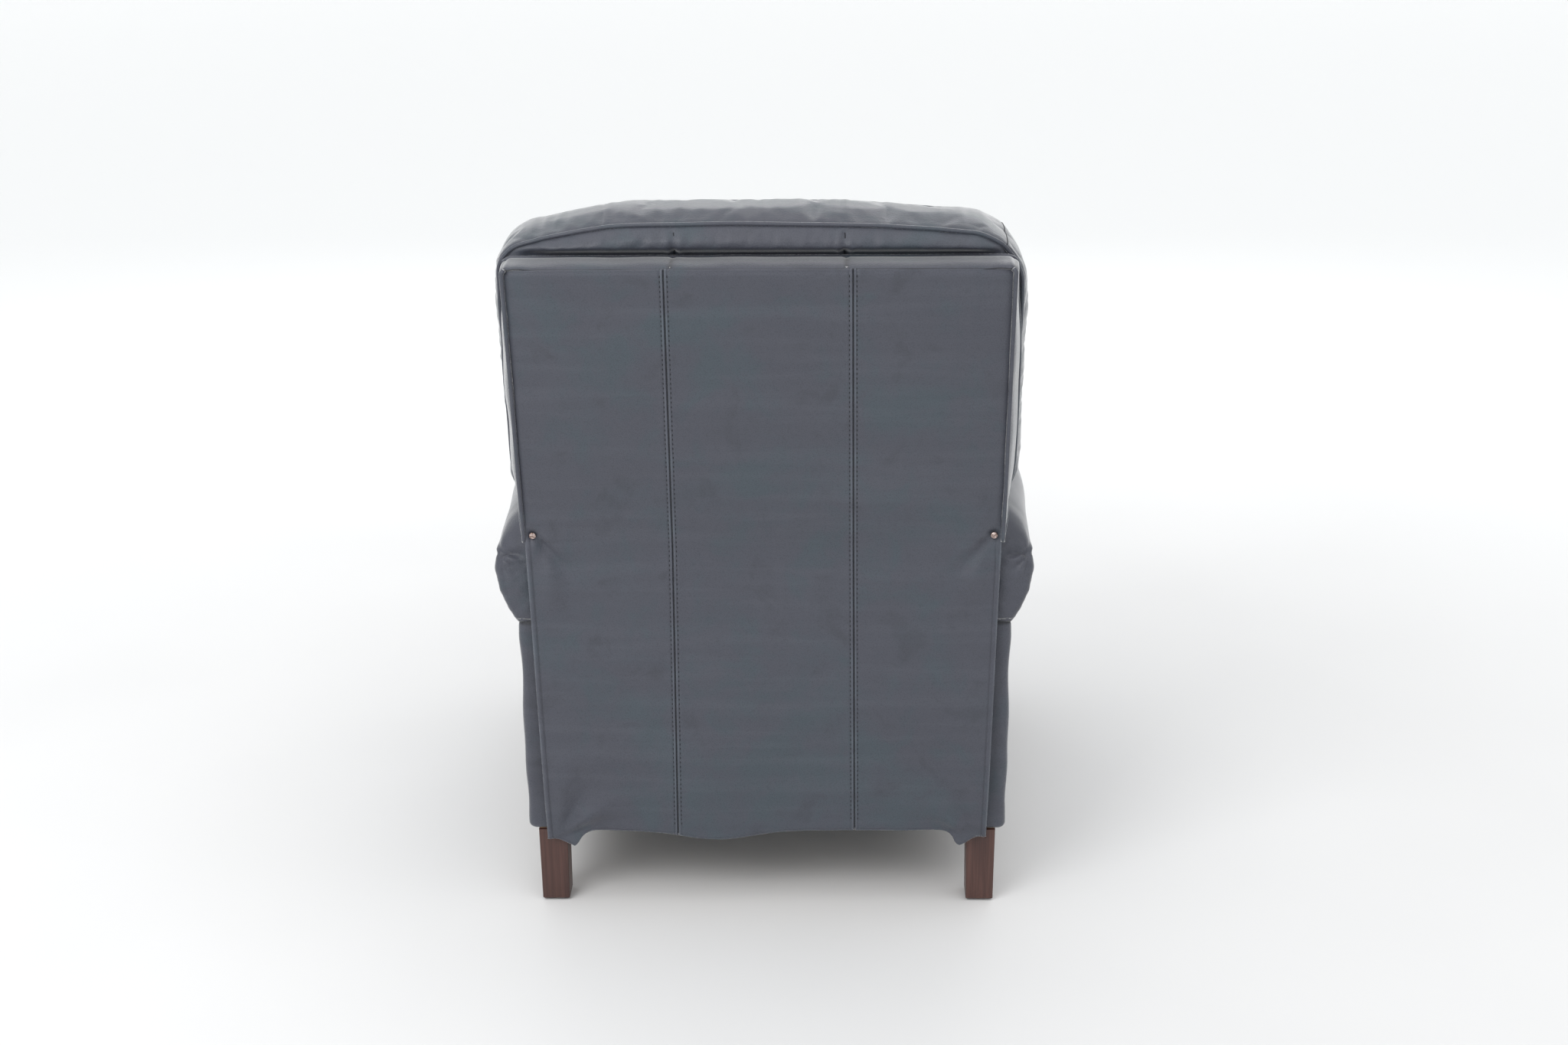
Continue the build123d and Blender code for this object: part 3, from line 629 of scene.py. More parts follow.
def back_cover():
    """The sheet itself, over the timber of the back and hanging free below it."""
    along, columns, angle, half, points = sheet_point_grid()
    x, z = points[..., 0], points[..., 2]
    lift = back_relief(x, z, half[:, None])
    offsets = np.abs(columns) - SEAM_TOP
    lift += seam_relief(offsets)[None, :]
    lift -= 0.0030 * (1 - smooth(0.0, 0.010, along))[:, None]
    points[..., 1] += np.cos(angle)[:, None] * lift
    points[..., 2] += np.sin(angle)[:, None] * lift
    points[..., 1] -= 0.0035 * smooth(0.20, 0.11, z) * smooth(0.27, 0.32, np.abs(x))
    tuck = points[:1] + 0.008 * FORWARD + 0.001 * UP
    piece = grid_object("outside_back_cover", np.concatenate((tuck, points)))
    away, edge = np.abs(offsets), half[:, None] - np.abs(x)
    # Painted shade: darker along each seam's valley, in the stitch dips beside it, and in the groove beside
    # the flap's side edges.
    shaded_seam = bump(offsets, 0, 0.0011) + 0.08 * bump(away, 0.0052, 0.0011) + 0 * x
    shaded_seam += 0.4 * bump(edge, 0.0078, 0.0012) * (1 - smooth(0.57, 0.60, z))
    # Painted highlight, partly rub wear: lighter on the ridges over the seam allowances and along the flap's
    # side edges.
    wear_and_highlight = 0.35 * bump(away, 0.0026, 0.0014) + 0.5 * smooth(0.990, 1.0, np.abs(x) / half[:, None])
    for label, values in (("shaded_seam", shaded_seam), ("wear_and_highlight", wear_and_highlight)):
        paint(piece, label, np.clip(np.concatenate((values[:1], values)), 0, 1))
    faces_out(piece, (0, 1, 0))
    thicken(piece, LEATHER_GAUGE)
    cover(piece, LEATHER)
    sewn = [flap_hem_line(points), back_stitches(points)]
    for part in [piece] + sewn:
        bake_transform(part, "back", "flap", start=(0, 0.385, 0.628), end=(0, 0.385, 0.572))
    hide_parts("outside_back_panel", "back_flap")


def faces_out(piece, direction):
    """Turns an open sheet's faces towards a direction."""
    total = Vector((0, 0, 0))
    for polygon in piece.data.polygons:
        total += polygon.normal * polygon.area
    if total.dot(Vector(direction)) < 0:
        piece.data.flip_normals()


def flap_hem_line(points):
    """A thin bound edge along the bottom of the flap."""
    path = resampled(points[-1] + np.array((0, -0.0011, 0.0004)), 0.0045)
    return cover(cord_mesh("flap_hem_binding", path, 0.0014, sides=8), LEATHER)


def stitch(place, direction, normal):
    """Points of one small stitch: a flattened bead that dips into the leather at its ends."""
    length, radius = 0.0046, 0.00095
    side = np.cross(direction, normal)
    rings = []
    for share, size in ((-0.5, 0.35), (-0.32, 0.9), (0.0, 1.0), (0.32, 0.9), (0.5, 0.35)):
        sink = 0.0007 * (2 * abs(share)) ** 2
        middle = place + direction * share * length - normal * sink
        rings.append([
            middle + radius * size * (math.cos(t) * side + 0.75 * math.sin(t) * normal)
            for t in np.linspace(0, 2 * math.pi, 6, endpoint=False)
        ])
    return np.array(rings).reshape(-1, 3)


def stitched_row(name, path, normals):
    """One mesh of stitches at an even pitch along a line on the leather."""
    pitch = 0.0074
    lengths = np.concatenate(([0], np.cumsum(np.linalg.norm(np.diff(path, axis=0), axis=1))))
    points, faces = [], []

    def along(values, place):
        return np.array([np.interp(place, lengths, values[:, i]) for i in range(3)])

    for place in np.arange(pitch, lengths[-1] - pitch, pitch):
        at, ahead = along(path, place), along(path, place + 0.001)
        normal = along(normals, place)
        direction = (ahead - at) / np.linalg.norm(ahead - at)
        first = len(points) * 30
        points.append(stitch(at + normal * 0.0002, direction, normal))
        faces += grid_faces(5, 6, ring=True, first=first)
        faces += [tuple(range(first + 5, first - 1, -1)), tuple(range(first + 24, first + 30))]
    return mesh_object(name, np.concatenate(points), faces)


def back_stitches(points):
    """Two rows of topstitching beside each long seam, from the top seam to the hem."""
    columns = cover_columns()
    rows = []
    for side in (-1, 1):
        for beside in (-1, 1):
            want = side * (SEAM_TOP + beside * 0.0052)
            j = int(np.abs(columns - want).argmin())
            path = points[1:-2, j]
            across = points[1:-2, j + 1] - points[1:-2, j - 1]
            normal = np.cross(across, np.gradient(path, axis=0))
            normal /= np.linalg.norm(normal, axis=1, keepdims=True)
            normal *= np.sign(normal[:, 1:2])
            rows.append(stitched_row(f"row_{side}_{beside}", path, normal))
    return cover(joined("back_topstitching", rows), THREAD)


# Top band and side boxing of the back, with their welts.
def boxing_path():
    """Across, up the slope, and outward direction along the band: up one side, over, down."""
    radius = 0.007
    across, high = BACK_HALF - radius, BACK_CREST - radius
    side = [(BACK_HALF, up, 1.0, 0.0) for up in np.linspace(BOXING_FOOT, high, 84)]
    for turn in np.linspace(0, 1, 9)[1:-1] * math.pi / 2:
        c, s = math.cos(turn), math.sin(turn)
        side.append((across + radius * c, high + radius * s, c, s))
    top = [(x, BACK_CREST, 0.0, 1.0) for x in np.linspace(across, -across, 112)]
    other = [(-x, up, -nx, nz) for x, up, nx, nz in side[::-1]]
    return np.array(side + top + other)


def boxing_points(path, depth, rise):
    """Points of the band at one depth. The sides flare towards the pillow and hug the foot."""
    x, up, nx, nz = path.T
    share = depth / BACK_DEPTH
    width = 0.005 + (BOXING_FLARE - 0.005) * smooth(0.43, 0.24, up)
    flare = (0.001 + width * share) * np.abs(nx) * smooth(-0.02, 0.10, up)
    crown = rise * (0.8 + 0.2 * swell(x + up, 0 * up, 0.13, 21)) * smooth(-0.02, 0.04, up)
    forward = depth * np.interp(up, (-0.010, 0.010, 0.020, 0.040), (0.10, 0.16, 0.30, 1.0))
    level = depth * math.tan(LEAN) * smooth(0.30, 0.415, up)
    return back_point(x + nx * (flare + crown), up - level + nz * (crown * 0.9), forward)


def back_boxing():
    path = boxing_path()
    depths = np.concatenate(((0.0, 0.0012, 0.003), np.linspace(0.006, 0.060, 13), (0.063, 0.0655)))
    rises = 0.0045 * (1 - (2 * depths / BACK_DEPTH - 1) ** 4) - 0.0028 * bump(depths, 0, 0.0016)
    points = np.stack([boxing_points(path, *pair) for pair in zip(depths, rises)], 1)
    seam_x = np.abs(path[:, 0][:, None] + 0 * points[..., 0])
    on_top = (path[:, 3] > 0.9)[:, None]
    mitre = bump(np.abs(path[:, 2]), math.sqrt(0.5), 0.16)[:, None]
    cross = np.where(on_top, bump(seam_x, 0.1200, 0.0030), 0)
    points -= 0.0016 * (cross + mitre)[..., None] * np.array((0, 0.1, 1.0))
    pucker = 0.0012 * np.sin(seam_x * 900) * bump(seam_x, BACK_HALF - 0.02, 0.02) * on_top
    points += pucker[..., None] * (1 - depths / BACK_DEPTH)[None, :, None] * UP
    piece = grid_object("back_band_and_boxing", points)
    # Painted shade: darker at the cross seams on top, at the mitred corners, and along the rear edge by the
    # welt.
    paint(piece, "shaded_seam", np.clip(0.9 * cross + 0.8 * mitre + bump(depths, 0, 0.0012), 0, 1))
    faces_out(piece, (0, 0.3, 1))
    thicken(piece, LEATHER_GAUGE)
    cover(piece, LEATHER)
    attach(piece, "back")
    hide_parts("back_top_band", "back_side_boxing")
    welts = back_welts(path)
    for welt in welts:
        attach(welt, "back")


def back_welts(path):
    """Piping where the boxing meets the outside back and the pillow."""
    runs = {
        "back_rear_welt_left": boxing_points(path[path[:, 2] > 0.5], -0.0012, 0.0),
        "back_rear_welt_right": boxing_points(path[path[:, 2] < -0.5], -0.0012, 0.0),
        "back_front_welt": boxing_points(path, BACK_DEPTH - 0.002, 0.0012),
    }
    return [cover(cord_mesh(name, resampled(run, 0.006), WELT), LEATHER)
            for name, run in runs.items()]


# Boxed cushions. Each is shaped in its own flat frame (across, along, thickness), blown
# up a little as cloth, and then put in its place on the chair.
def outline_distance(points, outline):
    """Distance of flat points from a closed outline, and the outline's outward normal there."""
    start, end = outline, np.roll(outline, -1, 0)
    run = end - start
    squared = (run**2).sum(1)
    area = 0.5 * (start[:, 0] * end[:, 1] - end[:, 0] * start[:, 1]).sum()
    normals = np.stack((run[:, 1], -run[:, 0]), 1) / np.sqrt(squared)[:, None] * np.sign(area)
    distances, outward = np.empty(len(points)), np.empty((len(points), 2))
    for first in range(0, len(points), 4000):
        part = points[first : first + 4000]
        share = ((part[:, None] - start) * run).sum(2) / squared
        foot = start + np.clip(share, 0, 1)[..., None] * run
        gaps = np.linalg.norm(part[:, None] - foot, axis=2)
        near = gaps.argmin(1)
        distances[first : first + 4000] = gaps[np.arange(len(part)), near]
        outward[first : first + 4000] = normals[near]
    return distances, outward


def prism(name, outline, low, high):
    count = len(outline)
    points = [(*p, low) for p in outline] + [(*p, high) for p in outline]
    faces = [tuple(range(count))[::-1], tuple(range(count, 2 * count))]
    faces += [(i, (i + 1) % count, count + (i + 1) % count, count + i) for i in range(count)]
    return weld(mesh_object(name, points, faces))


def remeshed(piece, voxel):
    remesh = piece.modifiers.new("even_quads", "REMESH")
    remesh.mode = "VOXEL"
    remesh.voxel_size = voxel
    return settle(piece)


def inflate(piece, pressure, cap, held):
    """Blows the piece up as cloth, held at its seams, moving no point further than cap."""
    frames = 20
    before = read_points(piece)
    group = piece.vertex_groups.new(name="seams")
    group.add([int(i) for i in np.flatnonzero(held)], 1.0, "REPLACE")
    cloth = piece.modifiers.new("leather_cloth", "CLOTH")
    settings = cloth.settings
    settings.quality = 4
    settings.mass = 0.35
    settings.tension_stiffness = settings.compression_stiffness = 14
    settings.bending_stiffness = 1.2
    settings.use_pressure = True
    settings.uniform_pressure_force = pressure
    settings.effector_weights.gravity = 0
    settings.vertex_group_mass = "seams"
    settings.shrink_min = -0.012  # the leather may stretch by this share
    scene = bpy.context.scene
    cloth.point_cache.frame_start, cloth.point_cache.frame_end = 1, frames
    for step in range(1, frames + 1):
        scene.frame_set(step)
    settle(piece)
    scene.frame_set(1)
    piece.vertex_groups.clear()
    move = read_points(piece) - before
    far = np.linalg.norm(move, axis=1)
    move *= (np.minimum(far, cap) / np.maximum(far, 1e-9))[:, None]
    write_points(piece, before + move)


def boxed_cushion(name, outline, low, high, crown_low, crown_high, bulge, pressure, cap,
                  voxel=0.006):
    """A closed form with two crowned panels and a boxing between them that bellies out."""
    piece = remeshed(prism(name, outline, low, high), voxel)
    points = read_points(piece)
    inside, outward = outline_distance(points[:, :2], outline)
    t = (2 * points[:, 2] - low - high) / (high - low)
    panel = smooth(0.80, 0.97, np.abs(t))
    crown = np.where(t > 0, crown_high, crown_low) * (1 - np.exp(-((inside / 0.075) ** 1.2)))
    rim = bump(inside, 0, 0.012)
    points[:, 2] += np.sign(t) * panel * crown
    points[:, 2] -= np.sign(t) * panel * rim * 0.003
    points[:, :2] += outward * (rim * bulge * (1 - np.abs(t) ** 2.6))[:, None]
    write_points(piece, points)
    held = (inside < 0.55 * voxel) & (np.abs(t) > 1 - 1.1 * voxel / (high - low))
    inflate(piece, pressure, cap * (0.3 + 0.7 * panel), held)
    return refine(piece)


def dress_cushion(piece, outline, low, high, seed, pucker=0.0016):
    """Pulls the leather in along the two welts, puckers it beside them, and paints shade along them."""
    points, normals = read_points(piece), read_normals(piece)
    inside, _ = outline_distance(points[:, :2], outline)
    centre = outline.mean(0)
    turn = np.arctan2(points[:, 1] - centre[1], points[:, 0] - centre[0])
    shaded_seam = 0
    for level in (low, high):
        away = np.hypot(inside, points[:, 2] - level)
        shaded_seam = np.maximum(shaded_seam, bump(away, 0, 0.0075))
    run = points[:, 0] * 1.3 + points[:, 1] + 0.004 * np.sin(31 * turn)
    folds = swell(points[:, 0], points[:, 1], 0.022, seed) * bump(inside, 0.016, 0.014)
    folds *= 0.5 + 0.5 * swell(run, turn, 0.3, seed + 1)
    points += normals * (pucker * folds - 0.0026 * shaded_seam)[:, None]
    slack = 0.0012 * swell(points[:, 0] + points[:, 2], points[:, 1], 0.14, seed + 2)
    write_points(piece, points + normals * slack[:, None])
    # Painted shade: the leather close beside each welt is darkened.
    paint(piece, "shaded_seam", 0.75 * shaded_seam**3)


def on_surface(piece, path, lift):
    """The nearest points on the piece to a path, raised by lift."""
    found = []
    for point in path:
        _, spot, normal, _ = piece.closest_point_on_mesh(Vector(point))
        found.append(tuple(spot + normal * lift))
    return np.array(found)


def edge_welts(piece, name, body, outline, levels, place, radius=WELT):
    """Closed piping along the outline at each level, sewn down to the finished cushion."""
    for label, level in levels.items():
        ring = resampled(outline, 0.006, closed=True)
        path = place(np.column_stack((ring, np.full(len(ring), level))))
        path = on_surface(piece, path, 0.45 * radius)
        for _ in range(3):
            path = 0.5 * path + 0.25 * (np.roll(path, 1, 0) + np.roll(path, -1, 0))
        welt = cord_mesh(f"{name}_{label}_welt", path, radius, closed=True)
        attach(cover(welt, LEATHER), body)


def seam_cord(name, piece, body, path):
    """A fine sewn line that follows a piece's surface below a path of points."""
    radius = 0.0008
    line = resampled(on_surface(piece, path, 0.2 * radius), 0.004)
    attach(cover(cord_mesh(name, line, radius, sides=6), THREAD), body)


def groove(piece, line):
    """Draws the leather in along a seam, given each point's distance from it."""
    depth, width = 0.0022, 0.004
    pull = -depth * bump(line, 0, width) + 0.4 * depth * bump(np.abs(line), 2.2 * width, width)
    write_points(piece, read_points(piece) + read_normals(piece) * pull[:, None])


# Back pillow.
PILLOW_REAR = 0.0705  # depths of its two welts, forward of the outside back
PILLOW_FRONT = 0.2200
PILLOW_WING = 0.3690  # half width above the arms
PILLOW_NECK = 0.2500  # half width between them
PILLOW_SEAM = 0.118  # distance of its two rear seams from the middle


def pillow_outline():
    """Flat outline of the T-shaped pillow; its top is stuffed a little unevenly."""
    wing_low, crest, neck_low = 0.0330, 0.4600, -0.0940
    outline = rounded(
        (
            (PILLOW_NECK, neck_low), (PILLOW_NECK, wing_low), (PILLOW_WING, wing_low),
            (PILLOW_WING, crest), (-PILLOW_WING, crest), (-PILLOW_WING, wing_low),
            (-PILLOW_NECK, wing_low), (-PILLOW_NECK, neck_low),
        ),
        (0.025, 0.012, 0.030, 0.040, 0.082, 0.030, 0.012, 0.025),
    )
    x, up = outline.T
    high = smooth(0.25, 0.42, up)
    up = up + high * (0.002 * bump(x, 0.04, 0.10) - 0.040 * smooth(0.17, 0.42, x)
                      - 0.015 * smooth(0.08, 0.36, -x))
    return np.column_stack((x, up))


def pillow_place(local):
    """Thickness runs level, so that the pillow's top and its wings over the arms are level."""
    x, up, depth = local.T
    level = up - 0.92 * (depth - PILLOW_REAR) * math.tan(LEAN)
    return back_point(x, level, depth)


def pillow_rear(local):
    """Rests the rear panel on the back, and lets its top belly out over the band."""
    x, up, depth = local.T
    behind = depth < PILLOW_REAR + 0.02
    depth = np.where(behind, np.maximum(depth, PILLOW_REAR - 0.0030), depth)
    below = np.interp(x, (-PILLOW_WING, -0.30, -0.20, 0.17, 0.30, PILLOW_WING),
                      (0.045, 0.012, 0.004, 0.0, 0.018, 0.045))
    over = smooth(0.4155, 0.4290, up) * smooth(0.468, 0.434, up + below)
    return np.column_stack((x, up, depth - behind * 0.017 * over))


def back_pillow():
    outline = pillow_outline()
    piece = boxed_cushion(
        "back_pillow", outline, PILLOW_REAR, PILLOW_FRONT,
        crown_low=0.010, crown_high=0.020, bulge=0.005, pressure=3.2, cap=0.020,
    )
    dress_cushion(piece, outline, PILLOW_REAR, PILLOW_FRONT, 41)
    write_points(piece, pillow_rear(read_points(piece)))
    for side in (-1, 1):
        local = read_points(piece)
        on_rear = (local[:, 2] < PILLOW_REAR + 0.006) & (local[:, 1] < 0.452)
        groove(piece, np.where(on_rear, local[:, 0] - side * PILLOW_SEAM, 1))
    write_points(piece, pillow_place(read_points(piece)))
    cover(piece, LEATHER)
    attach(piece, "back")
    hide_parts("back_cushion")
    levels = {"rear": PILLOW_REAR + 0.001, "front": PILLOW_FRONT - 0.001}
    edge_welts(piece, "back_pillow", "back", outline, levels, pillow_place)
    ups = np.arange(-0.05, 0.448, 0.004)
    depths = np.arange(PILLOW_REAR + 0.006, PILLOW_FRONT - 0.004, 0.004)
    for name, x, up, depth in (
        ("rear_seam_left", PILLOW_SEAM, ups, PILLOW_REAR - 0.004),
        ("rear_seam_right", -PILLOW_SEAM, ups, PILLOW_REAR - 0.004),
        ("boxing_seam", -0.3510, 0.4330, depths),
    ):
        path = pillow_place(np.stack(np.broadcast_arrays(x, up, depth), 1))
        seam_cord(f"back_pillow_{name}", piece, "back", path)


# Seat cushion.
SEAT_LOW = 0.377  # heights of its two welts
SEAT_HIGH = 0.4935


def seat_outline():
    half, rear, front = 0.2510, -0.2640, 0.4480
    return rounded(((half, rear), (half, front), (-half, front), (-half, rear)),
                   (0.030, 0.034, 0.034, 0.030))


def seat_place(local):
    across, ahead, height = local.T
    roll = 0.006 * smooth(0.36, 0.45, ahead) * smooth(SEAT_LOW, SEAT_HIGH, height)
    return np.column_stack((across, -ahead, height - roll))


def seat_cushion():
    outline = seat_outline()
    piece = boxed_cushion(
        "seat_cushion_cover", outline, SEAT_LOW, SEAT_HIGH,
        crown_low=0.0, crown_high=0.012, bulge=0.004, pressure=3.2, cap=0.012,
    )
    dress_cushion(piece, outline, SEAT_LOW, SEAT_HIGH, 51)
    local = read_points(piece)
    local[:, 2] = np.maximum(local[:, 2], SEAT_LOW - 0.001)
    limit = np.interp(local[:, 1], (-0.14, -0.05), (0.5070, 0.5200))
    local[:, 2] = np.minimum(local[:, 2], limit)
    local[:, 0] = np.clip(local[:, 0], -0.2545, 0.2545)
    write_points(piece, seat_place(local))
    cover(piece, LEATHER)
    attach(piece, "seat")
    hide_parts("seat_cushion")
    levels = {"lower": SEAT_LOW + 0.001, "upper": SEAT_HIGH - 0.001}
    edge_welts(piece, "seat_cushion", "seat", outline, levels, seat_place)


# Legrest.
def legrest_cover():
    rear, front = 0.4375, 0.4590
    outline = rounded(((0.2505, 0.1375), (0.2505, 0.3585), (-0.2505, 0.3585), (-0.2505, 0.1375)),
                      (0.018,) * 4, 0.005)

    def place(local):
        across, height, ahead = local.T
        return np.column_stack((across, -ahead, height))

    piece = boxed_cushion("legrest_cover", outline, rear, front, crown_low=0.0, crown_high=0.006,
                          bulge=0.003, pressure=2.0, cap=0.004, voxel=0.005)
    dress_cushion(piece, outline, rear, front, 61, 0.0010)
    local = read_points(piece)
    local[:, 2] = np.clip(local[:, 2], rear, 0.4690)
    write_points(piece, place(local))
    cover(piece, LEATHER)
    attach(piece, "legrest")
    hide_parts("legrest_pad")
    edge_welts(piece, "legrest", "legrest", outline, {"front": front - 0.0005}, place, 0.0030)


def strip(name, xs, section):
    """A sheet with the same bent section, in Y and Z, all along its width."""
    section = resampled(section, 0.003)
    x, y = np.meshgrid(xs, section[:, 0])
    z = np.broadcast_to(section[:, 1:], x.shape)
    return grid_object(name, np.stack((x, y + 0.0004 * swell(x, z, 0.05, 64), z), -1))


def front_wraps():
    """Leather over the front rails of the seat and the base, seen when the legrest is out."""
    seat_section = ((-0.3700, 0.3712), (-0.3850, 0.3710), (-0.3868, 0.3690), (-0.3870, 0.3520),
                    (-0.3868, 0.3350), (-0.3850, 0.3335), (-0.3780, 0.3335))
    spans = ((-0.2435, -0.2045), (-0.1965, 0.1965), (0.2045, 0.2435))
    seat = joined("seat_front_wrap", [
        strip(f"span_{k}", np.linspace(low, high, 4 + int((high - low) / 0.006)), seat_section)
        for k, (low, high) in enumerate(spans)
    ])
    base_section = ((-0.3380, 0.1915), (-0.3505, 0.1915), (-0.3526, 0.1895), (-0.3528, 0.1570),
                    (-0.3526, 0.1262))
    base = strip("base_front_wrap", np.linspace(-0.2985, 0.2985, 100), base_section)
    for piece, body, rail, flat in ((seat, "seat", "seat_front_rail", (0.471, 0.070)),
                                    (base, "base", "base_front_rail", (0.597, 0.080))):
        faces_out(piece, (0, -1, 0))
        thicken(piece, 0.0016)
        cover(piece, LEATHER)
        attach(piece, body)


def legrest_wrap():
    """Leather drawn back from the pad over the edge of the board and stapled behind it."""
    half, low, high = 0.2545, 0.1335, 0.3625
    outline = rounded(((half, low), (half, high), (-half, high), (-half, low)),
                      (0.006,) * 4, 0.005)
    outward = outline_distance(outline, outline)[1]
    rows = []
    for y, inset in ((-0.4405, 0.0035), (-0.4385, 0.0008), (-0.4360, 0.0), (-0.4280, 0.0002),
                     (-0.4210, 0.0), (-0.4190, 0.0010), (-0.4184, 0.0030), (-0.4184, 0.0100)):
        ring = outline - outward * inset
        rows.append(np.column_stack((ring[:, 0], np.full(len(ring), y), ring[:, 1])))
    points = np.stack(rows)
    points[2:5, :, 1] += 0.0004 * swell(points[2:5, :, 0], points[2:5, :, 2], 0.03, 63)
    piece = grid_object("legrest_wrap", points, ring=True)
    faces_out(piece, (0, 1, 0))
    thicken(piece, 0.0018)
    cover(piece, LEATHER)
    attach(piece, "legrest")


# Arms. Made on the sitter's left and mirrored.
def roll_profile(step=0.0030):
    """X and Z round a rolled arm: under it, up its outside, over the crest, down inside."""
    swells = ROLL_OUT - BASE_OUT
    radius = (swells**2 + (ARM_WIDEST - ARM_FOOT) ** 2) / (2 * swells)
    below = np.linspace(math.asin((ARM_FOOT - ARM_WIDEST) / radius), 0, 24)
    outer = np.linspace(0, math.pi / 2, 30)
    inner = np.linspace(math.pi / 2, math.pi, 30)
    path = [(0.304, ARM_FOOT - 0.0010), (BASE_OUT - 0.008, ARM_FOOT - 0.0010)]
    path += [(ROLL_OUT - radius + radius * math.cos(a), ARM_WIDEST + radius * math.sin(a))
             for a in below]
    path += [(CREST_X + (ROLL_OUT - CREST_X) * math.cos(a),
              ARM_WIDEST + (ARM_TOP - ARM_WIDEST) * math.sin(a)) for a in outer[1:]]
    path += [(CREST_X + (CREST_X - ARM_IN) * math.cos(a),
              ARM_SHOULDER + (ARM_TOP - ARM_SHOULDER) * math.sin(a)) for a in inner[1:]]
    path += [(ARM_IN, INSIDE_FOOT)]
    return resampled(path, step)


def pleats(x, z, y):
    """Gathers at the rear end of a roll: folds that fan out from one point."""
    cap = smooth(REAR - 0.022, REAR - 0.006, y)
    out = 0
    for end, amount, width in (
        ((0.345, 0.5790), -0.0092, 0.0044),
        ((0.350, 0.5640), 0.0050, 0.0056),
        ((0.352, 0.6200), -0.0026, 0.0035),
        ((0.348, 0.6030), 0.0030, 0.0050),
        ((0.352, 0.5400), -0.0022, 0.0036),
        ((0.362, 0.5180), 0.0020, 0.0045),
        ((0.377, 0.5050), -0.0016, 0.0030),
    ):
        out = out + amount * crease(x, z, PLEAT, end, width)
    out = out * cap
    pinch = np.sqrt((x - PLEAT[0]) ** 2 + (z - PLEAT[1]) ** 2 + (y - REAR + 0.008) ** 2)
    out = out - 0.0050 * bump(pinch, 0, 0.0065)
    outside, start = smooth(0.375, 0.388, x), (0.010 - REAR, PLEAT[1])
    for ahead, height, amount in ((0.060, 0.590, -0.0022), (0.050, 0.562, -0.0016),
                                  (0.055, 0.577, 0.0014)):
        out = out + outside * amount * crease(-y, z, start, (ahead - REAR, height), 0.0040)
    return out


def roll_core(x, z):
    """Points inside the roll that its rear end closes towards, and where its inside panel is."""
    inside = (x < ARM_IN + 0.001) & (z < ARM_FOOT)
    core_x = np.where(inside, ARM_IN + 0.018, 0.322)
    core_z = np.where(inside, z, np.clip(z, ARM_FOOT - 0.001, 0.545))
    under = (np.arange(len(x)) < 24) & (z < ARM_FOOT + 0.02)
    return core_x, np.where(under, 0.500, core_z), inside


def roll_points():
    """Rows round the arm from its front to its rear, then round the rear edge and across."""
    x, z = roll_profile().T
    core_x, core_z, inside = roll_core(x, z)
    radius = 0.012 + 0.048 * smooth(0.545, 0.612, z) * smooth(0.285, 0.33, x)
    cap = 0.062  # length over which the roll closes
    ys = np.concatenate((np.linspace(FRONT, REAR - 0.100, 60)[:-1],
                         np.linspace(REAR - 0.100, REAR - cap, 18)[:-1]))
    rows = [np.column_stack((x, np.full(len(x), y), z)) for y in ys]
    reach = np.hypot(core_x - x, core_z - z)
    toward = np.column_stack((core_x - x, 0 * x, core_z - z)) / np.maximum(reach, 1e-6)[:, None]
    for share in np.linspace(0, 1, 21):
        angle = np.clip((share - 0.45) / 0.55, 0, 1) * math.pi / 2
        y = REAR - cap + min(share * 2.2, 1) * (cap - radius) + radius * math.sin(angle)
        inset = np.minimum(radius * (1 - math.cos(angle)), reach)
        rows.append(np.column_stack((x, y, z)) + toward * inset[:, None])
    edge, left = rows[-1], np.maximum(reach - radius, 0)
    for share in np.linspace(0, 1, 22)[1:]:
        dome = 0.0025 * math.sin(math.pi * min(share * 1.2, 1))
        row = edge + toward * (left * share)[:, None]
        row[:, 1] = edge[:, 1] + np.where(inside, -0.004, dome)
        rows.append(row)
    return np.stack(rows)


def roll_cover():
    """Leather over the roll and the inside of the arm, gathered closed at the rear."""
    piece = grid_object("arm_roll_cover_left", roll_points())
    faces_out(piece, (0, 0, 1))
    points, normals = read_points(piece), read_normals(piece)
    x, y, z = points.T
    lift = pleats(x, z, y) + 0.0011 * swell(y, x + z, 0.16, 71)
    lift += 0.0006 * swell(y, 2.0 * (x + z), 0.05, 72) * smooth(0.20, 0.36, y)
    lift -= 0.0018 * bump(y, FRONT, 0.006)
    wider = smooth(REAR - 0.02, 0.02, y) * smooth(CREST_X, ROLL_OUT, x)
    x += ROLL_SWELL * wider * smooth(ARM_FOOT, ARM_FOOT + 0.03, z)
    write_points(piece, points + normals * lift[:, None])
    gathers = np.hypot(x - PLEAT[0], z - PLEAT[1]) + 2 * np.abs(y - REAR + 0.008)
    line = crease(x, z, PLEAT, (0.352, 0.5810), 0.0014) * smooth(REAR - 0.02, REAR, y)
    low = smooth(ARM_FOOT + 0.005, ARM_FOOT + 0.001, z)
    # Painted shade: darker in the gathers and along the main fold at the rear, and on the lowest strip of
    # the roll by its seam.
    paint(piece, "shaded_seam", np.clip(0.9 * bump(gathers, 0, 0.006) + 0.55 * line + low, 0, 1))
    # Painted highlight, partly rub wear: lighter along the crest of the arm.
    paint(piece, "wear_and_highlight", 0.16 * bump(z, ARM_TOP, 0.02))
    thicken(piece, LEATHER_GAUGE)
    return piece


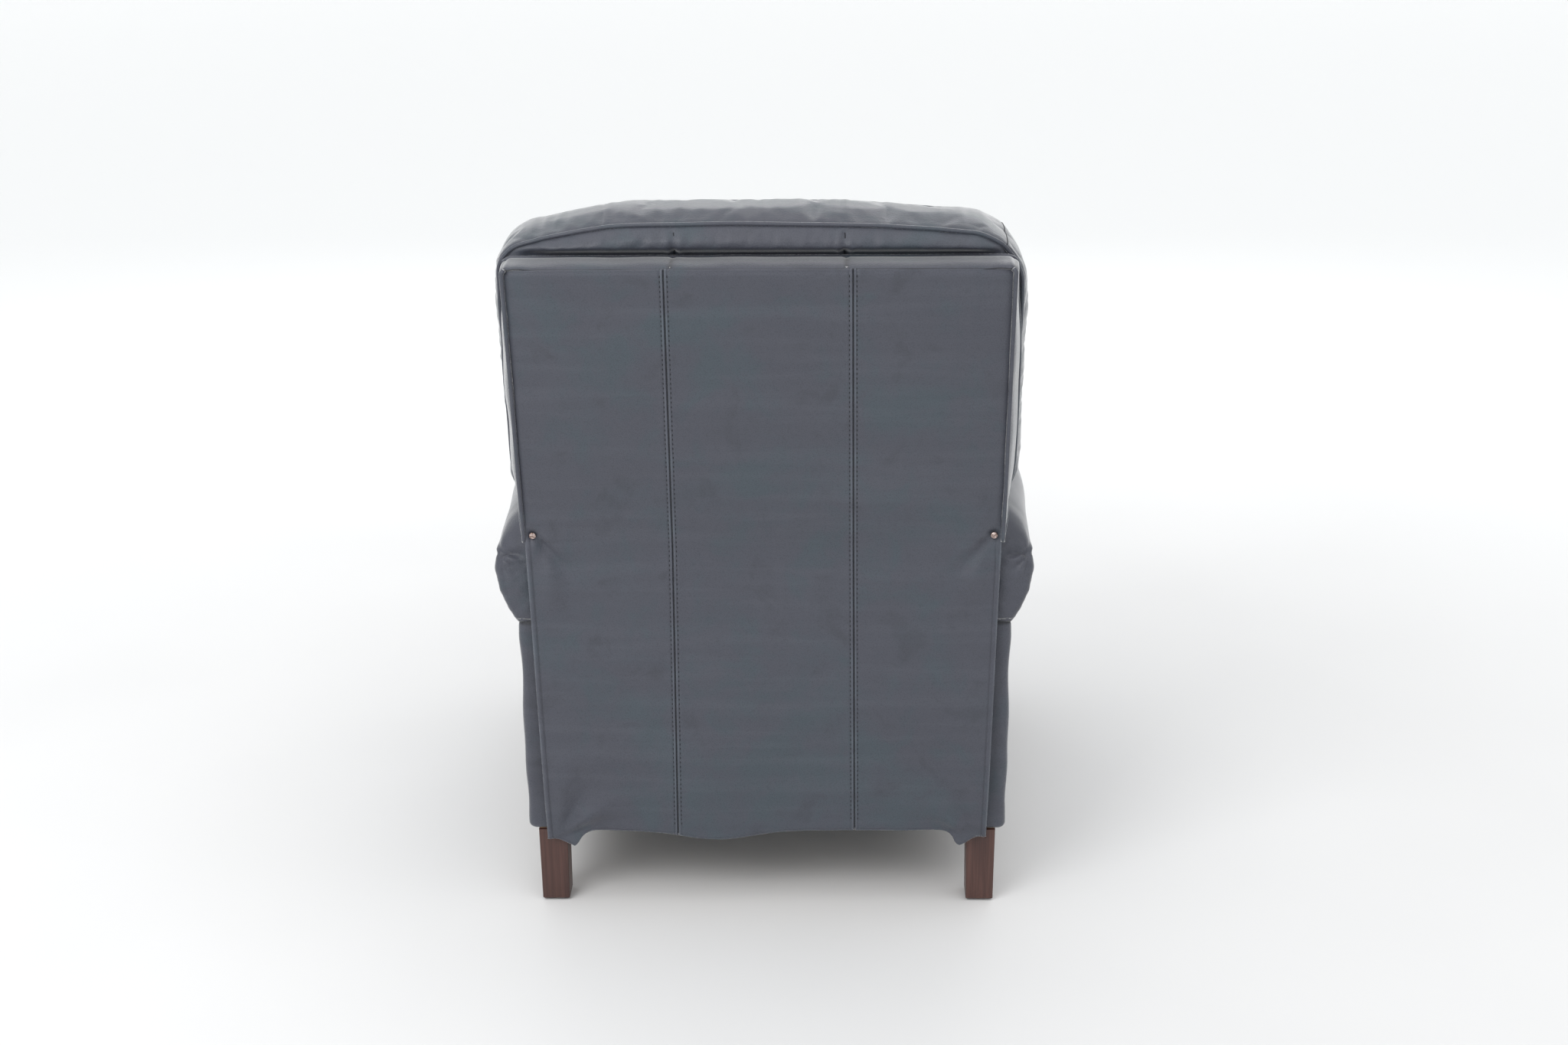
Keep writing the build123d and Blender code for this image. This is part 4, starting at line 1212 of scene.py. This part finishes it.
def arm_side_cover():
    """Outside panel of the arm: it wraps round the rear post and under the base."""
    turn, roll, rear = 0.013, 0.009, REAR - 0.0005
    corner = [(BASE_OUT - turn + turn * math.sin(a), rear - turn + turn * math.cos(a),
               math.sin(a), math.cos(a)) for a in np.linspace(0, math.pi / 2, 9)]
    inner = [(x, rear, 0.0, 1.0) for x in np.linspace(0.2625, BASE_OUT - turn, 14)[:-1]]
    side = [(BASE_OUT, y, 1.0, 0.0) for y in np.linspace(rear - turn, FRONT + 0.0005, 96)[1:]]
    path = np.array(inner + corner + side)
    heights = [(ARM_FOOT + 0.010, 0.0060), (ARM_FOOT + 0.004, 0.0040)]
    heights += [(z, 0.0) for z in np.linspace(ARM_FOOT - 0.0005, UNDERSIDE + roll, 56)]
    heights += [(UNDERSIDE + roll * (1 - math.sin(a)), roll * (1 - math.cos(a)))
                for a in np.linspace(0, math.pi / 2, 8)[1:]]
    heights += [(UNDERSIDE, inset) for inset in (0.0105, 0.012)]
    x, y, nx, ny = path.T
    rows = []
    for z, inset in heights:
        lift = 0.0012 * swell(y - x, z, 0.20, 81) + 0.0008 * swell(y - x, z, 0.07, 82)
        lift = lift * smooth(UNDERSIDE, UNDERSIDE + 0.05, z) * smooth(ARM_FOOT, ARM_FOOT - 0.03, z)
        lift = np.minimum(lift - 0.0012 * bump(z, ARM_FOOT, 0.003), 0.001) - inset
        rows.append(np.column_stack((x + nx * lift, y + ny * lift, np.full(len(x), z))))
    points = np.stack(rows)
    piece = grid_object("arm_side_cover_left", points)
    faces_out(piece, (1, 0.1, 0))
    up = read_points(piece)[:, 2]
    # Painted shade: darker along the top of the panel, under the roll.
    paint(piece, "shaded_seam", smooth(ARM_FOOT - 0.006, ARM_FOOT - 0.001, up))
    # Painted highlight, partly rub wear: lighter along the rolled lower edge.
    paint(piece, "wear_and_highlight", 0.25 * bump(up, UNDERSIDE + 0.004, 0.004))
    thicken(piece, LEATHER_GAUGE)
    return piece


def facing_outline():
    """Closed outline of the front facing, roll and column, on the sitter's left."""
    profile = roll_profile(0.004)
    roll = [p for p in profile if p[1] > ARM_FOOT + 0.001 or p[0] > BASE_OUT - 0.004]
    roll = [p for p in roll if p[1] > ARM_SHOULDER - 0.02 or p[0] > ARM_IN + 0.02]
    turn = 0.011
    bottom = [(BASE_OUT - turn + turn * math.cos(a), UNDERSIDE + turn - turn * math.sin(a))
              for a in np.linspace(math.pi / 2, 0, 7)]
    path = [(ARM_IN + 0.002, UNDERSIDE)] + bottom + roll
    return resampled(path, 0.0045, closed=True)


def arm_front_cover():
    """Crowned panel that closes the arm at the front, inside its piping."""
    outline = facing_outline()
    core = np.column_stack((np.clip(outline[:, 0], 0.310, 0.322),
                            np.clip(outline[:, 1], 0.175, 0.548)))
    rows = []
    for share in np.concatenate(([0, 0.012, 0.03, 0.06, 0.10], np.linspace(0.15, 1, 22))):
        flat = outline + (core - outline) * share
        rise = 0.0015 + 0.0085 * (1 - (1 - min(share / 0.30, 1)) ** 2)
        rise = rise + 0.0006 * swell(flat[:, 0], flat[:, 1], 0.09, 91) * min(share * 6, 1)
        rows.append(np.column_stack((flat[:, 0], FRONT - rise, flat[:, 1])))
    points, count = np.stack(rows), len(outline)
    faces = grid_faces(len(rows), count, ring=True)
    faces.append(tuple(range((len(rows) - 1) * count, len(rows) * count)))
    piece = weld(mesh_object("arm_front_cover_left", points, faces))
    faces_out(piece, (0, -1, 0))
    thicken(piece, LEATHER_GAUGE)
    path = np.column_stack((outline[:, 0], np.full(len(outline), FRONT - 0.0012), outline[:, 1]))
    welt = cord_mesh("arm_front_welt_left", resampled(path, 0.006, closed=True), WELT, closed=True)
    return piece, welt


def arms():
    front, welt = arm_front_cover()
    made = {"roll": roll_cover(), "side": arm_side_cover(), "front": front, "welt": welt}
    for part in made.values():
        cover(part, LEATHER)
    other = {key: mirrored(part, part.name.replace("left", "right")) for key, part in made.items()}
    for side, pieces in (("left", made), ("right", other)):
        for part in pieces.values():
            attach(part, "base")
        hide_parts(f"arm_roll_{side}", f"inside_arm_panel_{side}")
        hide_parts(f"outside_arm_panel_{side}", f"arm_rear_facing_{side}")
        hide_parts(f"arm_front_facing_{side}")


# Dust cover under the base, with its staples.
def dust_cover():
    low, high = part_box("dust_cover")
    x, y = np.meshgrid(np.linspace(low.x, high.x, 67), np.linspace(low.y, high.y, 69))
    inset = np.minimum(np.minimum(x - low.x, high.x - x), np.minimum(y - low.y, high.y - y))
    slack = smooth(0.0, 0.16, inset)
    z = high.z - 0.0003 - 0.0035 * slack * (1 + 0.3 * swell(x, y, 0.18, 95))
    z = z - 0.0007 * (1 - slack) * np.abs(np.sin(x * 62) * np.sin(y * 62))
    piece = grid_object("dust_cover_cloth", np.stack((x, y, z), -1))
    faces_out(piece, (0, 0, -1))
    thicken(piece, 0.0006)
    cover(piece, DUST_CLOTH)
    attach(piece, "base")
    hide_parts("dust_cover")
    staples = dust_cover_staples(low, high)
    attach(staples, "base")


def dust_cover_staples(low, high):
    """Wire staples every 55 mm along the rails that the cloth is fixed to."""
    pitch, half, z = 0.055, 0.0048, high.z - 0.0012
    side = ((-1.0, 0.001), (-1.0, -0.0004), (-0.8, -0.0008))
    section = side + tuple((-along, rise) for along, rise in side[::-1])
    crowns = []
    for x in (low.x + 0.006, high.x - 0.006):
        for y in np.arange(low.y + 0.02, high.y - 0.01, pitch):
            path = [(x, y + half * along, z + rise) for along, rise in section]
            crowns.append(cord_mesh("staple", path, 0.0005, sides=6))
    return cover(joined("dust_cover_staples", crowns), ZINC)


# Camera, floor and lights.
def make_camera():
    """A 50 mm lens 3.4 m behind the chair, 1.7 m up and looking 20 degrees down."""
    yaw, pitch, roll = (math.radians(a) for a in (1.128, 19.92, -0.466))
    ahead = Vector((math.sin(yaw) * math.cos(pitch), -math.cos(yaw) * math.cos(pitch),
                    -math.sin(pitch)))
    level = Vector((-math.cos(yaw), -math.sin(yaw), 0))
    above = level.cross(ahead)
    right = math.cos(roll) * level + math.sin(roll) * above
    up = -math.sin(roll) * level + math.cos(roll) * above
    camera = bpy.data.objects.new("camera", bpy.data.cameras.new("camera"))
    bpy.context.scene.collection.objects.link(camera)
    camera.data.lens = 50
    camera.data.sensor_width = 36
    matrix = camera.matrix_world.to_3x3()
    for k, axis in enumerate((right, up, -ahead)):
        matrix.col[k] = axis
    camera.matrix_world = matrix.to_4x4()
    camera.location = (-0.0894, 3.3575, 1.7087)
    bpy.context.scene.camera = camera


def make_floor():
    """A plain pale floor that curves up far off. Its colour is a little lighter away from the chair: painted
    light, standing in for the brighter lit backdrop.
    """
    rings = [(radius, 0) for radius in (0.0, 0.4, 0.8, 1.2, 1.8, 2.6, 4.0, 7.0, 12.0)]
    rings += [(14.0, 0.15), (16.0, 0.7), (18.0, 1.8), (20.0, 3.6), (22.0, 6.4)]
    turns = np.linspace(0, 2 * math.pi, 96, endpoint=False)
    points = [[(r * math.cos(a), r * math.sin(a), z) for a in turns] for r, z in rings]
    floor = grid_object("floor", np.array(points), ring=True)
    weld(floor)
    faces_out(floor, (0, 0, 1))
    paint(floor, "away", np.linalg.norm(read_points(floor)[:, :2], axis=1) / 4)
    n = Nodes("studio_floor")
    cloud = n.noise(1.3, 2.0)
    near = n.mix(n.ramp(cloud, 0.3, 0.7), srgb(220, 220, 220), srgb(223, 223, 223))
    # Painted light: the colour rises from the near tone to a lighter one with distance from the chair.
    colour = n.mix(n.ramp(n.attribute("away"), 0.22, 0.85), near, srgb(239, 240, 240))
    n.relief(n.noise(160.0, 2.0), 0.0002, 0.2)
    floor.data.materials.append(n.finish(colour, 0.62, Specular_IOR_Level=0.25))


def soft_light(name, place, aim, size, watts):
    data = bpy.data.lights.new(name, "AREA")
    data.shape = "RECTANGLE"
    data.size, data.size_y = size
    data.energy = watts
    light = bpy.data.objects.new(name, data)
    bpy.context.scene.collection.objects.link(light)
    light.location = place
    light.visible_camera = False
    light.rotation_mode = "QUATERNION"
    light.rotation_quaternion = (Vector(aim) - Vector(place)).to_track_quat("-Z", "Y")


def make_lights():
    scene = bpy.context.scene
    world = bpy.data.worlds.new("studio")
    world.use_nodes = True
    background = world.node_tree.nodes["Background"]
    background.inputs["Color"].default_value = (0.96, 0.98, 1.0, 1.0)
    background.inputs["Strength"].default_value = 0.38
    scene.world = world
    sky = bpy.data.lights.new("ceiling", "SUN")
    sky.energy = 2.2
    sky.angle = math.radians(110)
    ceiling = bpy.data.objects.new("ceiling", sky)
    scene.collection.objects.link(ceiling)
    ceiling.rotation_euler = (math.radians(-9), math.radians(-4), 0)
    soft_light("behind", (1.7, 2.5, 2.6), (0, 0.4, 0.8), (1.8, 1.4), 44)
    soft_light("front", (0.0, -3.2, 2.3), (0, 0.0, 0.6), (4.0, 1.6), 26)
    scene.view_settings.view_transform = "Standard"
    scene.view_settings.look = "None"


make_camera()
make_floor()
make_lights()
finish_cad_nodes()
back_cover()
back_boxing()
back_pillow()
seat_cushion()
legrest_cover()
legrest_wrap()
front_wraps()
arms()
dust_cover()
